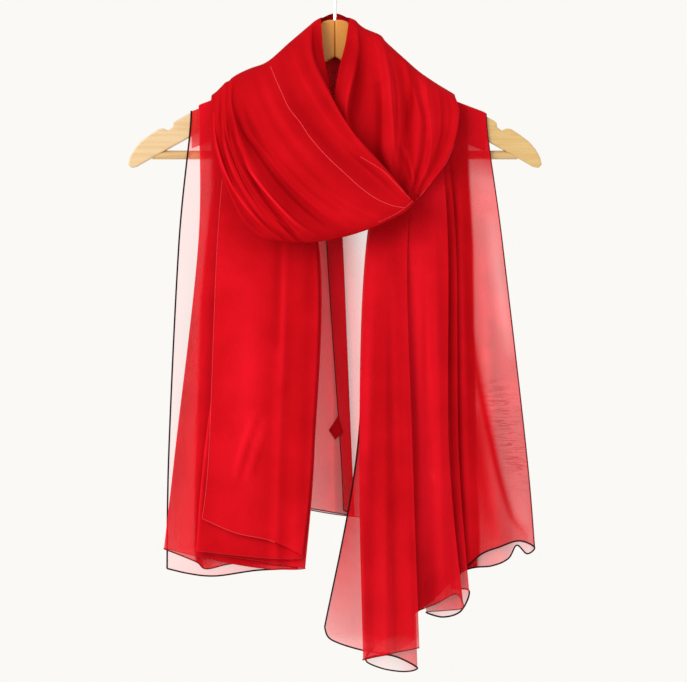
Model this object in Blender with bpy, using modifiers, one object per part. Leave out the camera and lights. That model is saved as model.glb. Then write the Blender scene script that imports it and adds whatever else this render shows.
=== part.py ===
"""Red chiffon scarf wound on a wooden coat hanger.

Metres, +Z up, +X to the viewer's right, the front faces -Y. The origin is where a rail touches the top of
the hook's inside. Tables and sizes are in millimetres, and heights are drops below that origin.
"""

import math

import bmesh
import bpy
from mathutils import Matrix, Vector

MM = 0.001

# Cloth
WALL = 1.0
SEAM_GAP = 0.3
FOLD_STEPS = 2

# Hanger
WOOD_THICK = 12.0
WOOD_FACE = WOOD_THICK / 2
WOOD_ROUND = 2.5
CENTRE_GAP = 0.3
BAR_RADIUS = 4.8
BAR_DROP = 207.8
BAR_END = 197.0
FIT_GAP = 0.3

# Hook
WIRE_RADIUS = 1.75
HOOK_INSIDE = 17.0
HOOK_OPENS_AT = math.radians(205)
HOOK_JOINS_AT = math.radians(-60)
SHANK_END = 82.0
SHANK_BEND = 46.0
NECK_TOP = 62.0

# Outline of the right arm: x from the middle, drop. It runs along the top, round the tip and back below.
ARM_OUTLINE = (
    (CENTRE_GAP / 2, NECK_TOP),
    (8.0, 62.6),
    (13.5, 64.5),
    (31.3, 84.0),
    (48.6, 101.0),
    (69.1, 118.0),
    (108.0, 143.0),
    (134.0, 154.5),
    (159.8, 164.4),
    (171.5, 171.0),
    (175.0, 174.0),
    (174.3, 177.5),
    (179.8, 181.6),
    (185.2, 179.3),
    (190.1, 180.0),
    (200.0, 186.5),
    (210.1, 194.3),
    (217.0, 202.5),
    (221.4, 211.0),
    (223.0, 218.0),
    (220.3, 221.8),
    (214.0, 220.6),
    (204.0, 214.8),
    (CENTRE_GAP / 2, 102.0),
)
# The arm's top edge, as the tails meet it.
ARM_TOP = ((31.3, 84.0), (66.0, 115.0), (75.0, 121.4), (99.0, 137.0), (116.0, 146.4), (134.0, 154.4), (160.0, 164.3), (171.5, 170.5))

# The tails. Each row is one fold line from the arm down to the hem: the ply it lies in, counted from the
# front (a half is the turn between two plies), its x at COWL_DROP, at LOW_DROP and at the hem, and the
# hem's drop. GATHER has pairs of (x at COWL_DROP, x on the arm), which draw the folds together there.
COWL_DROP = 300.0
LOW_DROP = 526.0
LEFT_GATHER = ((-180, -163), (-168, -155), (-147, -132), (-126, -108), (-10, -74))
TAIL_LEFT = (
    ("front_corner", 0, -126, -135, -142, 599),
    ("front_a", 0, -97, -102, -107, 614),
    ("front_b", 0, -60, -64, -68, 625),
    ("right_edge_1", 0.5, -21, -24, -35, 645),
    ("second_a", 1, -49, -54, -68, 644),
    ("hidden_left", 1.5, -111, -140, -149, 634),
    ("third_a", 2, -72, -76, -79, 645),
    ("right_edge_2", 2.5, -18, -22, -32, 653),
    ("fourth_a", 3, -54, -60, -68, 654),
    ("fourth_b", 3, -92, -103, -111, 648),
    ("fourth_c", 3, -122, -140, -148, 640),
    ("left_edge", 3.5, -147, -172, -184, 632),
    ("fifth_a", 4, -130, -148, -150, 646),
    ("lobe", 4, -111, -130, -138, 654),
    ("fifth_b", 4, -79, -92, -105, 648),
    ("right_edge_3", 4.5, -25, -29, -40, 653),
    ("back_a", 5, -65, -76, -86, 656),
    ("back_b", 5, -108, -122, -130, 662),
    ("back_c", 5, -142, -154, -159, 659),
    ("back_corner", 5, -168, -179, -181, 654),
)
RIGHT_FRONT_GATHER = ((30, 69), (78, 97))
TAIL_RIGHT_FRONT = (
    ("front_right", 0, 74, 80, 90, 735),
    ("front_mid", 0, 54, 53, 62, 741),
    ("left_turn_1", 0.5, 34, 26, 30, 748),
    ("second_mid", 1, 53, 54, 57, 744),
    ("right_turn_1", 1.5, 72, 81, 88, 757),
    ("third_mid", 2, 53, 55, 62, 759),
    ("left_turn_2", 2.5, 36, 29, 34, 748),
    ("fourth_mid", 3, 55, 57, 59, 725),
    ("right_turn_2", 3.5, 72, 80, 85, 728),
    ("back_a", 4, 55, 57, 59, 742),
    ("back_b", 4, 42, 34, 28, 739),
    ("back_corner", 4, 37, 24, -10, 724),
)
RIGHT_SIDE_GATHER = ((80, 100), (121, 111), (133, 119), (141, 127), (180, 163), (190, 168))
TAIL_RIGHT_SIDE = (
    ("front_left", 0, 77, 80, 80, 701),
    ("front_a", 0, 97, 100, 107, 691),
    ("right_turn_1", 0.5, 121, 122, 134, 680),
    ("second_a", 1, 103, 105, 118, 698),
    ("left_turn_1", 1.5, 82, 84, 98, 700),
    ("third_a", 2, 105, 109, 119, 705),
    ("right_turn_2", 2.5, 130, 133, 143, 692),
    ("hidden_turn", 3.5, 116, 119, 125, 672),
    ("sheer_a", 4, 141, 146, 154, 641),
    ("sheer_b", 4, 157, 167, 178, 630),
    ("sheer_c", 4, 170, 187, 199, 624),
    ("outer_edge", 4.5, 180, 206, 215, 631),
    ("under_a", 5, 169, 190, 197, 637),
    ("under_b", 5, 150, 165, 168, 650),
    ("under_end", 5, 126, 133, 133, 656),
    ("under_far", 5, 98, 100, 104, 690),
    ("under_left", 5, 70, 68, 72, 712),
)
# How the plies stand off the wood, on the arm, at COWL_DROP, at LOW_DROP and at the hem: the last ply, and
# the gap between one ply and the next.
LEFT_STANDS = ((0.9, 1.0, 1.5, 2.0), (1.95, 3.4, 4.2, 5.0))
RIGHT_FRONT_STANDS = ((0.9, 6.0, 22.0, 33.0), (1.8, 3.4, 4.2, 5.0))
RIGHT_SIDE_STANDS = ((0.9, 1.0, 1.5, 2.0), (1.7, 3.2, 3.9, 4.6))
# A fold line over the arm's top edge: share of its stand to the front, and share of its rise.
WRAP_SHAPE = ((-1.0, 0.0), (-0.9, 0.74), (-0.4, 1.0), (0.4, 1.0), (0.9, 0.74), (1.0, 0.0))
WRAP_RISE = 0.7
WRAP_BACK_LENGTH = 38.0
WRAP_BACK_SHARE = 0.92
TOP_BIAS = 0.85
# The two lines of a turn: their distance from it in rows, and the share of the ply gap they have turned.
TURN_SPREAD = 0.12
TURN_SHARE = 0.42
# The plies open over this power of the way down to COWL_DROP.
OPENING = 8

# The end that hangs behind the hanger, in the same columns with its x at BACK_TOP_DROP before them. Its last
# ply, next to the wood, has the tab.
BACK_TOP_DROP = 104.0
TAIL_BACK = (
    ("back_right", 0, 50, 130, 144, 150, 610),
    ("back_a", 0, 43, 105, 113, 118, 608),
    ("back_b", 0, 35, 79, 83, 85, 605),
    ("back_c", 0, 26, 55, 55, 55, 602),
    ("back_d", 0, 16, 31, 29, 29, 600),
    ("back_e", 0, 4, 5, 1, 1, 597),
    ("back_f", 0, -12, -25, -29, -29, 592),
    ("left_turn", 0.5, -26, -42, -46, -49, 589),
    ("front_a", 1, -18, -21, -23, -23, 591),
    ("right_turn", 1.5, -4, 8, 17, 20, 598),
    ("strip_edge", 2, -14, -9, 6, 9, 592),
)
BACK_STANDS = ((0.9, 1.5, 4.0, 5.0), (2.6, 2.8, 3.4, 4.0))

# The ring round the neck. Each row is one fold line: how far it lies back of the crests, then (x, drop) on
# the shoulder and at each station down the front.
COWL_FRONT = (
    ("neck_edge", 10, (-15, 59), (-12, 100), (-4, 142), (9, 191), (43, 230), (76, 256), (79, 247)),
    ("rolled_edge", 1, (-28, 68), (-26, 103), (-11, 137), (18, 185), (53, 225), (84, 261), (88, 253)),
    ("upper_panel", 0, (-49, 86), (-42, 116), (-26, 153), (5, 196), (42, 236), (76, 270), (80, 261)),
    ("hem_line", 1, (-72, 106), (-59, 129), (-42, 168), (-11, 205), (29, 248), (66, 276), (70, 266)),
    ("broad_panel", 0, (-92, 114), (-84, 140), (-66, 180), (-39, 220), (-5, 256), (38, 289), (44, 279)),
    ("deep_valley", 14, (-105, 120), (-106, 148), (-90, 190), (-65, 228), (-33, 266), (5, 299), (11, 290)),
    ("first_ridge", 1, (-111, 124), (-111, 156), (-99, 198), (-79, 238), (-54, 274), (-26, 304), (-20, 295)),
    ("first_valley", 7, (-117, 128), (-117, 163), (-106, 204), (-88, 242), (-65, 276), (-38, 305), (-33, 296)),
    ("second_ridge", 1, (-122, 133), (-123, 169), (-113, 209), (-97, 247), (-76, 277), (-49, 304), (-44, 295)),
    ("second_valley", 7, (-127, 138), (-129, 174), (-119, 212), (-104, 250), (-86, 279), (-62, 302), (-57, 293)),
    ("outer_edge", 3, (-133, 143), (-134, 178), (-125, 214), (-112, 252), (-97, 281), (-76, 299), (-71, 290)),
    ("underside", 17, (-130, 145), (-131, 180), (-122, 216), (-109, 252), (-93, 279), (-73, 297), (-68, 288)),
)
COWL_RIGHT = (
    ("neck_edge", 6, (15, 59), (11, 90), (4, 118), (0, 146), (2, 172), (12, 197)),
    ("first_ridge", 0, (22, 62), (24, 94), (17, 131), (12, 165), (18, 193), (31, 216)),
    ("first_valley", 11, (31, 71), (35, 103), (29, 140), (25, 175), (34, 205), (47, 231)),
    ("second_ridge", 1, (49, 78), (53, 107), (54, 148), (52, 188), (54, 221), (61, 245)),
    ("second_valley", 8, (62, 92), (67, 122), (70, 159), (67, 197), (67, 231), (70, 251)),
    ("third_ridge", 0, (75, 103), (80, 131), (84, 168), (79, 202), (79, 236), (77, 255)),
    ("third_valley", 7, (85, 113), (90, 140), (94, 175), (89, 209), (86, 240), (83, 258)),
    ("fourth_ridge", 0, (96, 121), (99, 146), (103, 182), (99, 213), (93, 242), (88, 259)),
    ("fourth_valley", 5, (111, 131), (116, 154), (116, 186), (109, 218), (99, 243), (93, 259)),
    ("outer_edge", 3, (129, 142), (133, 161), (127, 195), (114, 225), (106, 244), (99, 257)),
    ("underside", 12, (125, 142), (130, 163), (124, 196), (111, 224), (103, 242), (96, 255)),
)
# How far the crests stand out at the stations: the shoulder, the brow just in front of it, then down the
# front. SHARE is how much of a row's own depth counts there.
SHOULDER_FRONT = -3.0
BROW_DROP = 4.0
FRONT_CRESTS = (SHOULDER_FRONT, 18.0, 34.0, 50.0, 64.0, 68.0, 62.0, 50.0)
FRONT_SHARE = (0.0, 0.1, 0.6, 1.0, 1.0, 1.0, 0.6, 0.5)
RIGHT_CRESTS = (SHOULDER_FRONT, 18.0, 30.0, 38.0, 43.0, 44.0, 42.0)
RIGHT_SHARE = (0.0, 0.1, 0.6, 1.0, 1.0, 0.9, 0.8)

# The stretch behind the neck, between the two shoulders.
BACK_ROWS = 17
BACK_STEPS = 18
BACK_DEPTH_TOP = 12.0
BACK_DEPTH_BOTTOM = 34.0
BACK_SAG_TOP = -5.5
BACK_SAG_BOTTOM = 58.0
BACK_FOLDS = 3.5
BACK_FOLD_DEPTH = 3.5

# The blank tab sewn to the edge of the back end.
TAB_LENGTH = 18.0
TAB_WIDTH = 12.0
TAB_THICK = 1.0
TAB_X = 1.0
TAB_DROP = 503.0
TAB_TURN = math.radians(57)
TAB_POSITION = 1.85


def place(x, drop, front):
    """A point given by x, its drop below the rail and how far it stands in front of the hanger's middle."""
    return Vector((x * MM, -front * MM, -drop * MM))


def blend(values, position):
    """Catmull-Rom value at a position counted in entries of a list of tuples."""
    last = len(values) - 1
    i = min(int(position), last - 1)
    t = position - i
    a = values[max(i - 1, 0)]
    b, c = values[i], values[i + 1]
    d = values[min(i + 2, last)]
    return tuple(
        0.5 * (2 * q + (r - p) * t + (2 * p - 5 * q + 4 * r - s) * t * t + (3 * q - p - 3 * r + s) * t ** 3)
        for p, q, r, s in zip(a, b, c, d)
    )


def straight(table, x):
    """Value at x on a table of (x, value) pairs joined by straight lines."""
    for (x0, v0), (x1, v1) in zip(table, table[1:]):
        if x <= x1:
            return v0 + (v1 - v0) * (x - x0) / (x1 - x0)
    return table[-1][1]


def material(name, colour, roughness, metallic=0.0):
    mat = bpy.data.materials.new(name)
    mat.use_nodes = True
    shader = mat.node_tree.nodes["Principled BSDF"]
    shader.inputs["Base Color"].default_value = (*colour, 1.0)
    shader.inputs["Roughness"].default_value = roughness
    shader.inputs["Metallic"].default_value = metallic
    return mat


def add_object(name, mesh, mat, collection):
    obj = bpy.data.objects.new(name, mesh)
    mesh.materials.clear()
    mesh.materials.append(mat)
    collection.objects.link(obj)
    return obj


def add_cloth(name, lines, mat, collection):
    """A cloth wall: a sheet through the fold lines, given thickness on both sides."""
    mesh = bpy.data.meshes.new(name)
    bm = bmesh.new()
    grid = [[bm.verts.new(point) for point in line] for line in lines]
    for left, right in zip(grid, grid[1:]):
        for i in range(len(left) - 1):
            bm.faces.new((left[i], left[i + 1], right[i + 1], right[i]))
    bmesh.ops.recalc_face_normals(bm, faces=bm.faces)
    for face in bm.faces:
        face.smooth = True
    bm.to_mesh(mesh)
    bm.free()
    obj = add_object(name, mesh, mat, collection)
    wall = obj.modifiers.new("wall", "SOLIDIFY")
    wall.thickness = WALL * MM
    wall.offset = 0.0
    return obj


def hang(levels, position):
    """Point on a fold line that leaves its first level straight down, at a position counted in levels."""
    x, drop = blend(levels, position)
    if position < 1:
        x = blend((levels[1], *levels), position + 1)[0]
    return x, drop


def stand_at(stands, plies_behind, down):
    """How far a line stands off the wood: the plies open quickly below the top, then slowly to the hem."""
    stand = [nearest + plies_behind * gap for nearest, gap in zip(*stands)]
    if down < 1:
        return stand[0] + (stand[1] - stand[0]) * (1 - (1 - down) ** OPENING)
    i = min(int(down), 2)
    return stand[i] + (stand[i + 1] - stand[i]) * (down - i)


def wrap_line(x_arm, stand, top):
    """The part of a fold line that lies behind the arm and over its top edge."""
    reach_back = WOOD_FACE + WALL + (stand - WALL) * WRAP_BACK_SHARE
    line = [place(x_arm, top + WRAP_BACK_LENGTH * part, -reach_back) for part in (1.0, 0.5)]
    for front, rise in WRAP_SHAPE:
        reach = WOOD_FACE + stand if front > 0 else reach_back
        line.append(place(x_arm, top - (WRAP_RISE + stand) * rise, reach * front))
    return line


def fold_columns(rows):
    """Where the lines of a folded tail lie: positions counted in rows, each with the plies behind it.

    A turn between two plies has a line on each side, so that the wall bends round clear of itself.
    """
    columns = []
    for i, (_, ply, *_) in enumerate(rows):
        is_turn = ply % 1 > 0
        if is_turn:
            columns.append((i - TURN_SPREAD, ply - TURN_SHARE))
            columns.append((i + TURN_SPREAD, ply + TURN_SHARE))
        else:
            columns.append((i, ply))
        if i + 1 < len(rows) and is_turn:
            columns.append((i + 0.5, ply + 0.5))
        elif i + 1 < len(rows) and rows[i + 1][1] % 1 > 0:
            columns.append((i + 0.5, ply))
    return [(position, rows[-1][1] - ply) for position, ply in columns]


def tail_lines(rows, gather, stands, steps):
    """All lines of a tail that goes over an arm. Gather gives the x on the arm for an x at COWL_DROP."""
    places = [row[2:] for row in rows]
    lines = []
    for position, behind in fold_columns(rows):
        x_cowl, x_low, x_hem, hem_drop = blend(places, position)
        x_arm = straight(gather, x_cowl)
        top = straight(ARM_TOP, abs(x_arm))
        levels = ((x_arm, top), (x_cowl, COWL_DROP), (x_low, LOW_DROP), (x_hem, hem_drop))
        line = wrap_line(x_arm, stand_at(stands, behind, 0), top)
        for j in range(1, steps + 1):
            down = 3 * (j / steps) ** TOP_BIAS
            line.append(place(*hang(levels, down), WOOD_FACE + stand_at(stands, behind, down)))
        lines.append(line)
    return lines


def back_tail_lines(steps):
    """The end that hangs behind the hanger, from under the stretch behind the neck."""
    places = [row[2:] for row in TAIL_BACK]
    lines = []
    for position, behind in fold_columns(TAIL_BACK):
        x_top, x_cowl, x_low, x_hem, hem_drop = blend(places, position)
        levels = ((x_top, BACK_TOP_DROP), (x_cowl, COWL_DROP), (x_low, LOW_DROP), (x_hem, hem_drop))
        line = []
        for j in range(steps + 1):
            down = 3 * j / steps
            line.append(place(*hang(levels, down), -WOOD_FACE - stand_at(BACK_STANDS, behind, down)))
        lines.append(line)
    return lines


def ring_line(row, crests, share):
    """Stations of one fold line of the ring: the shoulder, the brow and the points down the front."""
    back, shoulder, *front = row[1:]
    brow = (shoulder[0], shoulder[1] + BROW_DROP)
    stations = (shoulder, brow, *front)
    return [(x, drop, crest - back * part) for (x, drop), crest, part in zip(stations, crests, share)]


def smooth_line(points, count):
    """Centripetal Catmull-Rom through points at uneven distances, as count + 1 points."""
    points = [Vector(point) for point in points]
    points = [2 * points[0] - points[1], *points, 2 * points[-1] - points[-2]]
    knots = [0.0]
    for a, b in zip(points, points[1:]):
        knots.append(knots[-1] + math.sqrt((b - a).length))
    line = []
    for j in range(count + 1):
        t = knots[1] + (knots[-2] - knots[1]) * j / count
        i = max(k for k in range(1, len(points) - 2) if knots[k] <= t + 1e-9)
        line.append(on_span(points[i - 1 : i + 3], knots[i - 1 : i + 3], t))
    return line


def on_span(near, at, t):
    """Point at t between the middle two of four points, each with its own knot."""

    def mix(a, b, low, high):
        return a + (b - a) * (t - low) / (high - low)

    first, middle, last = (mix(near[k], near[k + 1], at[k], at[k + 1]) for k in range(3))
    leave = mix(first, middle, at[0], at[2])
    reach = mix(middle, last, at[1], at[3])
    return mix(leave, reach, at[1], at[2])


def ring_lines(rows, crests, share, steps):
    """All lines of one front stretch of the ring, from the shoulder's seam down the front."""
    folds = [ring_line(row, crests, share) for row in rows]
    lines = []
    for i in range((len(rows) - 1) * FOLD_STEPS + 1):
        stations = [blend(column, i / FOLD_STEPS) for column in zip(*folds)]
        lines.append([place(*point) for point in smooth_line(stations, steps)])
    return lines


def shoulder_points(rows, count):
    """Points along the shoulder's seam of a ring stretch, from the neck to the outer edge."""
    seam = [row[2] for row in rows[:-1]]
    return [blend(seam, (len(seam) - 1) * i / (count - 1)) for i in range(count)]


def neck_back_lines():
    """The stretch behind the neck: rows run from the left seam to the right one and hang in shallow folds."""
    left = shoulder_points(COWL_FRONT, BACK_ROWS)
    right = shoulder_points(COWL_RIGHT, BACK_ROWS)
    seam_front = SHOULDER_FRONT - SEAM_GAP - WALL / 2
    lines = []
    for i, ((x_left, drop_left), (x_right, drop_right)) in enumerate(zip(left, right)):
        across = i / (BACK_ROWS - 1)
        depth = BACK_DEPTH_TOP + (BACK_DEPTH_BOTTOM - BACK_DEPTH_TOP) * across ** 0.8
        sag = BACK_SAG_TOP + (BACK_SAG_BOTTOM - BACK_SAG_TOP) * across
        fold = BACK_FOLD_DEPTH * math.sin(2 * math.pi * BACK_FOLDS * across)
        line = []
        for j in range(BACK_STEPS + 1):
            turn = math.pi * j / BACK_STEPS
            rise = math.sin(turn)
            along = (1 - math.cos(turn)) / 2
            x = x_left + (x_right - x_left) * along
            drop = drop_left + (drop_right - drop_left) * along + sag * rise ** 3
            line.append(place(x, drop, seam_front - depth * rise ** 0.8 - fold * rise ** 2))
        lines.append(line)
    return lines


def flat_outline(name, points, thick):
    """A mesh from a flat outline of (x, drop) in the XZ plane, centred on Y."""
    curve = bpy.data.curves.new(name, "CURVE")
    curve.dimensions = "2D"
    curve.fill_mode = "BOTH"
    curve.extrude = thick / 2 * MM
    spline = curve.splines.new("POLY")
    spline.points.add(len(points) - 1)
    for target, (x, drop) in zip(spline.points, points):
        target.co = (x * MM, -drop * MM, 0.0, 1.0)
    spline.use_cyclic_u = True
    source = bpy.data.objects.new(name + "_curve", curve)
    bpy.context.scene.collection.objects.link(source)
    mesh = mesh_from(source)
    mesh.transform(Matrix.Rotation(math.pi / 2, 4, "X"))
    return mesh


def mesh_from(source):
    """The mesh of an evaluated curve object, with its caps welded. The curve is removed."""
    bpy.context.view_layer.update()
    evaluated = source.evaluated_get(bpy.context.evaluated_depsgraph_get())
    mesh = bpy.data.meshes.new_from_object(evaluated)
    bm = bmesh.new()
    bm.from_mesh(mesh)
    bmesh.ops.remove_doubles(bm, verts=bm.verts, dist=0.00001)
    bmesh.ops.recalc_face_normals(bm, faces=bm.faces)
    bm.to_mesh(mesh)
    bm.free()
    bpy.data.objects.remove(source)
    return mesh


def add_cutter(name, radius, length, matrix, collection):
    mesh = bpy.data.meshes.new(name)
    bm = bmesh.new()
    bmesh.ops.create_cone(
        bm, cap_ends=True, segments=16, radius1=radius * MM, radius2=radius * MM, depth=length * MM, matrix=matrix
    )
    bm.to_mesh(mesh)
    bm.free()
    cutter = bpy.data.objects.new(name, mesh)
    cutter.hide_render = True
    cutter.display_type = "WIRE"
    collection.objects.link(cutter)
    return cutter


def cut(obj, cutter):
    hole = obj.modifiers.new("hole", "BOOLEAN")
    hole.object = cutter
    hole.operation = "DIFFERENCE"
    hole.solver = "EXACT"


def add_arm(side, name, mat, collection, cutters):
    """One arm: a flat outline with rounded edges, a blind hole for the bar and half the hook's hole."""
    points = [(side * x, drop) for x, drop in ARM_OUTLINE]
    if side < 0:
        points.reverse()
    obj = add_object(name, flat_outline(name, points, WOOD_THICK), mat, collection)
    rounding = obj.modifiers.new("rounding", "BEVEL")
    rounding.width = WOOD_ROUND * MM
    rounding.segments = 2
    rounding.limit_method = "ANGLE"
    rounding.angle_limit = math.radians(60)
    for cutter in cutters:
        cut(obj, cutter)
    for face in obj.data.polygons:
        face.use_smooth = False
    return obj


def add_bar(mat, collection):
    mesh = bpy.data.meshes.new("bar")
    bm = bmesh.new()
    along_x = Matrix.Translation(place(0, BAR_DROP, 0)) @ Matrix.Rotation(math.pi / 2, 4, "Y")
    bmesh.ops.create_cone(
        bm,
        cap_ends=True,
        segments=20,
        radius1=BAR_RADIUS * MM,
        radius2=BAR_RADIUS * MM,
        depth=2 * BAR_END * MM,
        matrix=along_x,
    )
    for face in bm.faces:
        face.smooth = len(face.verts) == 4
    bm.to_mesh(mesh)
    bm.free()
    return add_object("bar", mesh, mat, collection)


def hook_route():
    """Points of the wire's middle line: up the shank, round an easy bend and over the top."""
    radius = HOOK_INSIDE + WIRE_RADIUS
    centre = HOOK_INSIDE
    start = (0.0, SHANK_BEND)
    end = (radius * math.cos(HOOK_JOINS_AT), centre - radius * math.sin(HOOK_JOINS_AT))
    heading = (-math.sin(HOOK_JOINS_AT), -math.cos(HOOK_JOINS_AT))
    pull = 7.0
    controls = (start, (0.0, SHANK_BEND - pull), (end[0] - heading[0] * pull, end[1] - heading[1] * pull), end)
    points = [(0.0, SHANK_END), (0.0, (SHANK_END + SHANK_BEND) / 2)]
    for i in range(7):
        t = i / 6
        weights = ((1 - t) ** 3, 3 * t * (1 - t) ** 2, 3 * t * t * (1 - t), t ** 3)
        points.append(tuple(sum(w * c[k] for w, c in zip(weights, controls)) for k in range(2)))
    steps = 22
    for i in range(1, steps + 1):
        turn = HOOK_JOINS_AT + (HOOK_OPENS_AT - HOOK_JOINS_AT) * i / steps
        points.append((radius * math.cos(turn), centre - radius * math.sin(turn)))
    return [place(x, drop, 0) for x, drop in points]


def add_hook(mat, collection):
    curve = bpy.data.curves.new("hook", "CURVE")
    curve.dimensions = "3D"
    curve.bevel_depth = WIRE_RADIUS * MM
    curve.bevel_resolution = 2
    curve.use_fill_caps = True
    spline = curve.splines.new("POLY")
    route = hook_route()
    spline.points.add(len(route) - 1)
    for target, point in zip(spline.points, route):
        target.co = (*point, 1.0)
    obj = bpy.data.objects.new("hook", curve)
    curve.materials.append(mat)
    collection.objects.link(obj)
    return obj


def add_hem_tab(mat, collection):
    """The tab: a small flat piece, turned as it hangs, just in front of the back end's strip."""
    mesh = bpy.data.meshes.new("hem_tab")
    bm = bmesh.new()
    bmesh.ops.create_cube(bm, size=1.0)
    bmesh.ops.scale(bm, vec=Vector((TAB_LENGTH, TAB_THICK, TAB_WIDTH)) * MM, verts=bm.verts)
    bm.to_mesh(mesh)
    bm.free()
    obj = add_object("hem_tab", mesh, mat, collection)
    strip = stand_at(BACK_STANDS, 0, TAB_POSITION)
    obj.location = place(TAB_X, TAB_DROP, WALL / 2 + SEAM_GAP + TAB_THICK / 2 - WOOD_FACE - strip)
    obj.rotation_euler = (0.0, -TAB_TURN, 0.0)
    return obj


def build():
    for obj in list(bpy.data.objects):
        bpy.data.objects.remove(obj)
    scarf = bpy.data.collections.new("scarf_on_hanger")
    cutters = bpy.data.collections.new("cutters")
    bpy.context.scene.collection.children.link(scarf)
    bpy.context.scene.collection.children.link(cutters)

    chiffon = material("red_chiffon", (0.68, 0.008, 0.012), 0.6)
    wood = material("pale_wood", (0.82, 0.60, 0.36), 0.45)
    chrome = material("chrome_wire", (0.80, 0.80, 0.79), 0.15, 1.0)

    upright = Matrix.Translation(place(0, (NECK_TOP + SHANK_END) / 2 + FIT_GAP, 0))
    hook_hole = add_cutter(
        "hook_hole", WIRE_RADIUS + FIT_GAP, SHANK_END - NECK_TOP + FIT_GAP * 2 + 0.4, upright, cutters
    )
    along_x = Matrix.Translation(place(0, BAR_DROP, 0)) @ Matrix.Rotation(math.pi / 2, 4, "Y")
    bar_hole = add_cutter("bar_hole", BAR_RADIUS + FIT_GAP, 2 * (BAR_END + FIT_GAP), along_x, cutters)
    add_arm(-1, "arm_left", wood, scarf, (bar_hole, hook_hole))
    add_arm(1, "arm_right", wood, scarf, (bar_hole, hook_hole))
    add_bar(wood, scarf)
    add_hook(chrome, scarf)

    add_cloth("neck_back", neck_back_lines(), chiffon, scarf)
    add_cloth("cowl_front", ring_lines(COWL_FRONT, FRONT_CRESTS, FRONT_SHARE, 18), chiffon, scarf)
    add_cloth("cowl_right", ring_lines(COWL_RIGHT, RIGHT_CRESTS, RIGHT_SHARE, 14), chiffon, scarf)
    add_cloth("tail_left", tail_lines(TAIL_LEFT, LEFT_GATHER, LEFT_STANDS, 10), chiffon, scarf)
    front = tail_lines(TAIL_RIGHT_FRONT, RIGHT_FRONT_GATHER, RIGHT_FRONT_STANDS, 11)
    add_cloth("tail_right_front", front, chiffon, scarf)
    side = tail_lines(TAIL_RIGHT_SIDE, RIGHT_SIDE_GATHER, RIGHT_SIDE_STANDS, 10)
    add_cloth("tail_right_side", side, chiffon, scarf)
    add_cloth("tail_back", back_tail_lines(12), chiffon, scarf)
    add_hem_tab(chiffon, scarf)


build()
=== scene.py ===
import math

import bpy
import numpy as np
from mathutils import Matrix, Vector


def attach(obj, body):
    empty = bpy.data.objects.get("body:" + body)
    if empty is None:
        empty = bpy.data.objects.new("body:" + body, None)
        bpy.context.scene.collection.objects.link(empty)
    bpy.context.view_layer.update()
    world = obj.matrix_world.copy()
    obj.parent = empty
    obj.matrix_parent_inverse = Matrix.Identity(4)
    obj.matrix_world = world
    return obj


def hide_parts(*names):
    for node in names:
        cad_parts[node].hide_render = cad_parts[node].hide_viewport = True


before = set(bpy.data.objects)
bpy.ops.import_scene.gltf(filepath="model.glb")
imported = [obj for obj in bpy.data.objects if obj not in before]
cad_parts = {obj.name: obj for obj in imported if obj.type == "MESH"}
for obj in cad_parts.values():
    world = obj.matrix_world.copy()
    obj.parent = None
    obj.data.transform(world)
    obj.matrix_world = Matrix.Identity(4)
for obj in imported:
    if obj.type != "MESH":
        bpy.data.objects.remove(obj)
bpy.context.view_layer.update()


# ---------------------------------------------------------------------------------------------------------
# The two arms of the hanger
# Each is sawn from a pale beech board and sanded, and the pair is glued at the middle. A clear satin lacquer
# leaves the grain running along the arm.


def linear(hex_colour):
    """An sRGB hex colour as linear RGB with alpha 1."""
    parts = [int(hex_colour[i : i + 2], 16) / 255 for i in (1, 3, 5)]
    return (*[c / 12.92 if c <= 0.04045 else ((c + 0.055) / 1.055) ** 2.4 for c in parts], 1.0)


def add_node(tree, kind, links=None, **settings):
    """A new node with its properties, and its inputs set to a value or linked to another node's output."""
    made = tree.nodes.new(kind)
    for key, value in settings.items():
        setattr(made, key, value)
    for key, value in (links or {}).items():
        if isinstance(value, bpy.types.NodeSocket):
            tree.links.new(value, made.inputs[key])
        else:
            made.inputs[key].default_value = value
    return made


def start_finish(name):
    """A new material, with its node tree, its shader and the place on the piece that its patterns go by."""
    mat = bpy.data.materials.new(name)
    mat.use_nodes = True
    tree = mat.node_tree
    return mat, tree, tree.nodes["Principled BSDF"], add_node(tree, "ShaderNodeTexCoord").outputs["Object"]


# Pattern cells to a metre, along the grain and across it: streaks 70 mm long and 4 mm wide, and pores drawn
# 3 mm long and 0.7 mm wide, twice as wide as real ones, so that they show.
STREAKS = (14.0, 260.0, 260.0)
PORES = (330.0, 1500.0, 1500.0)
# Where the painted shade of the neck is strongest and where it ends, in metres from the middle.
NECK_SHADE_FROM, NECK_SHADE_TO = 0.018, 0.05


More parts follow.
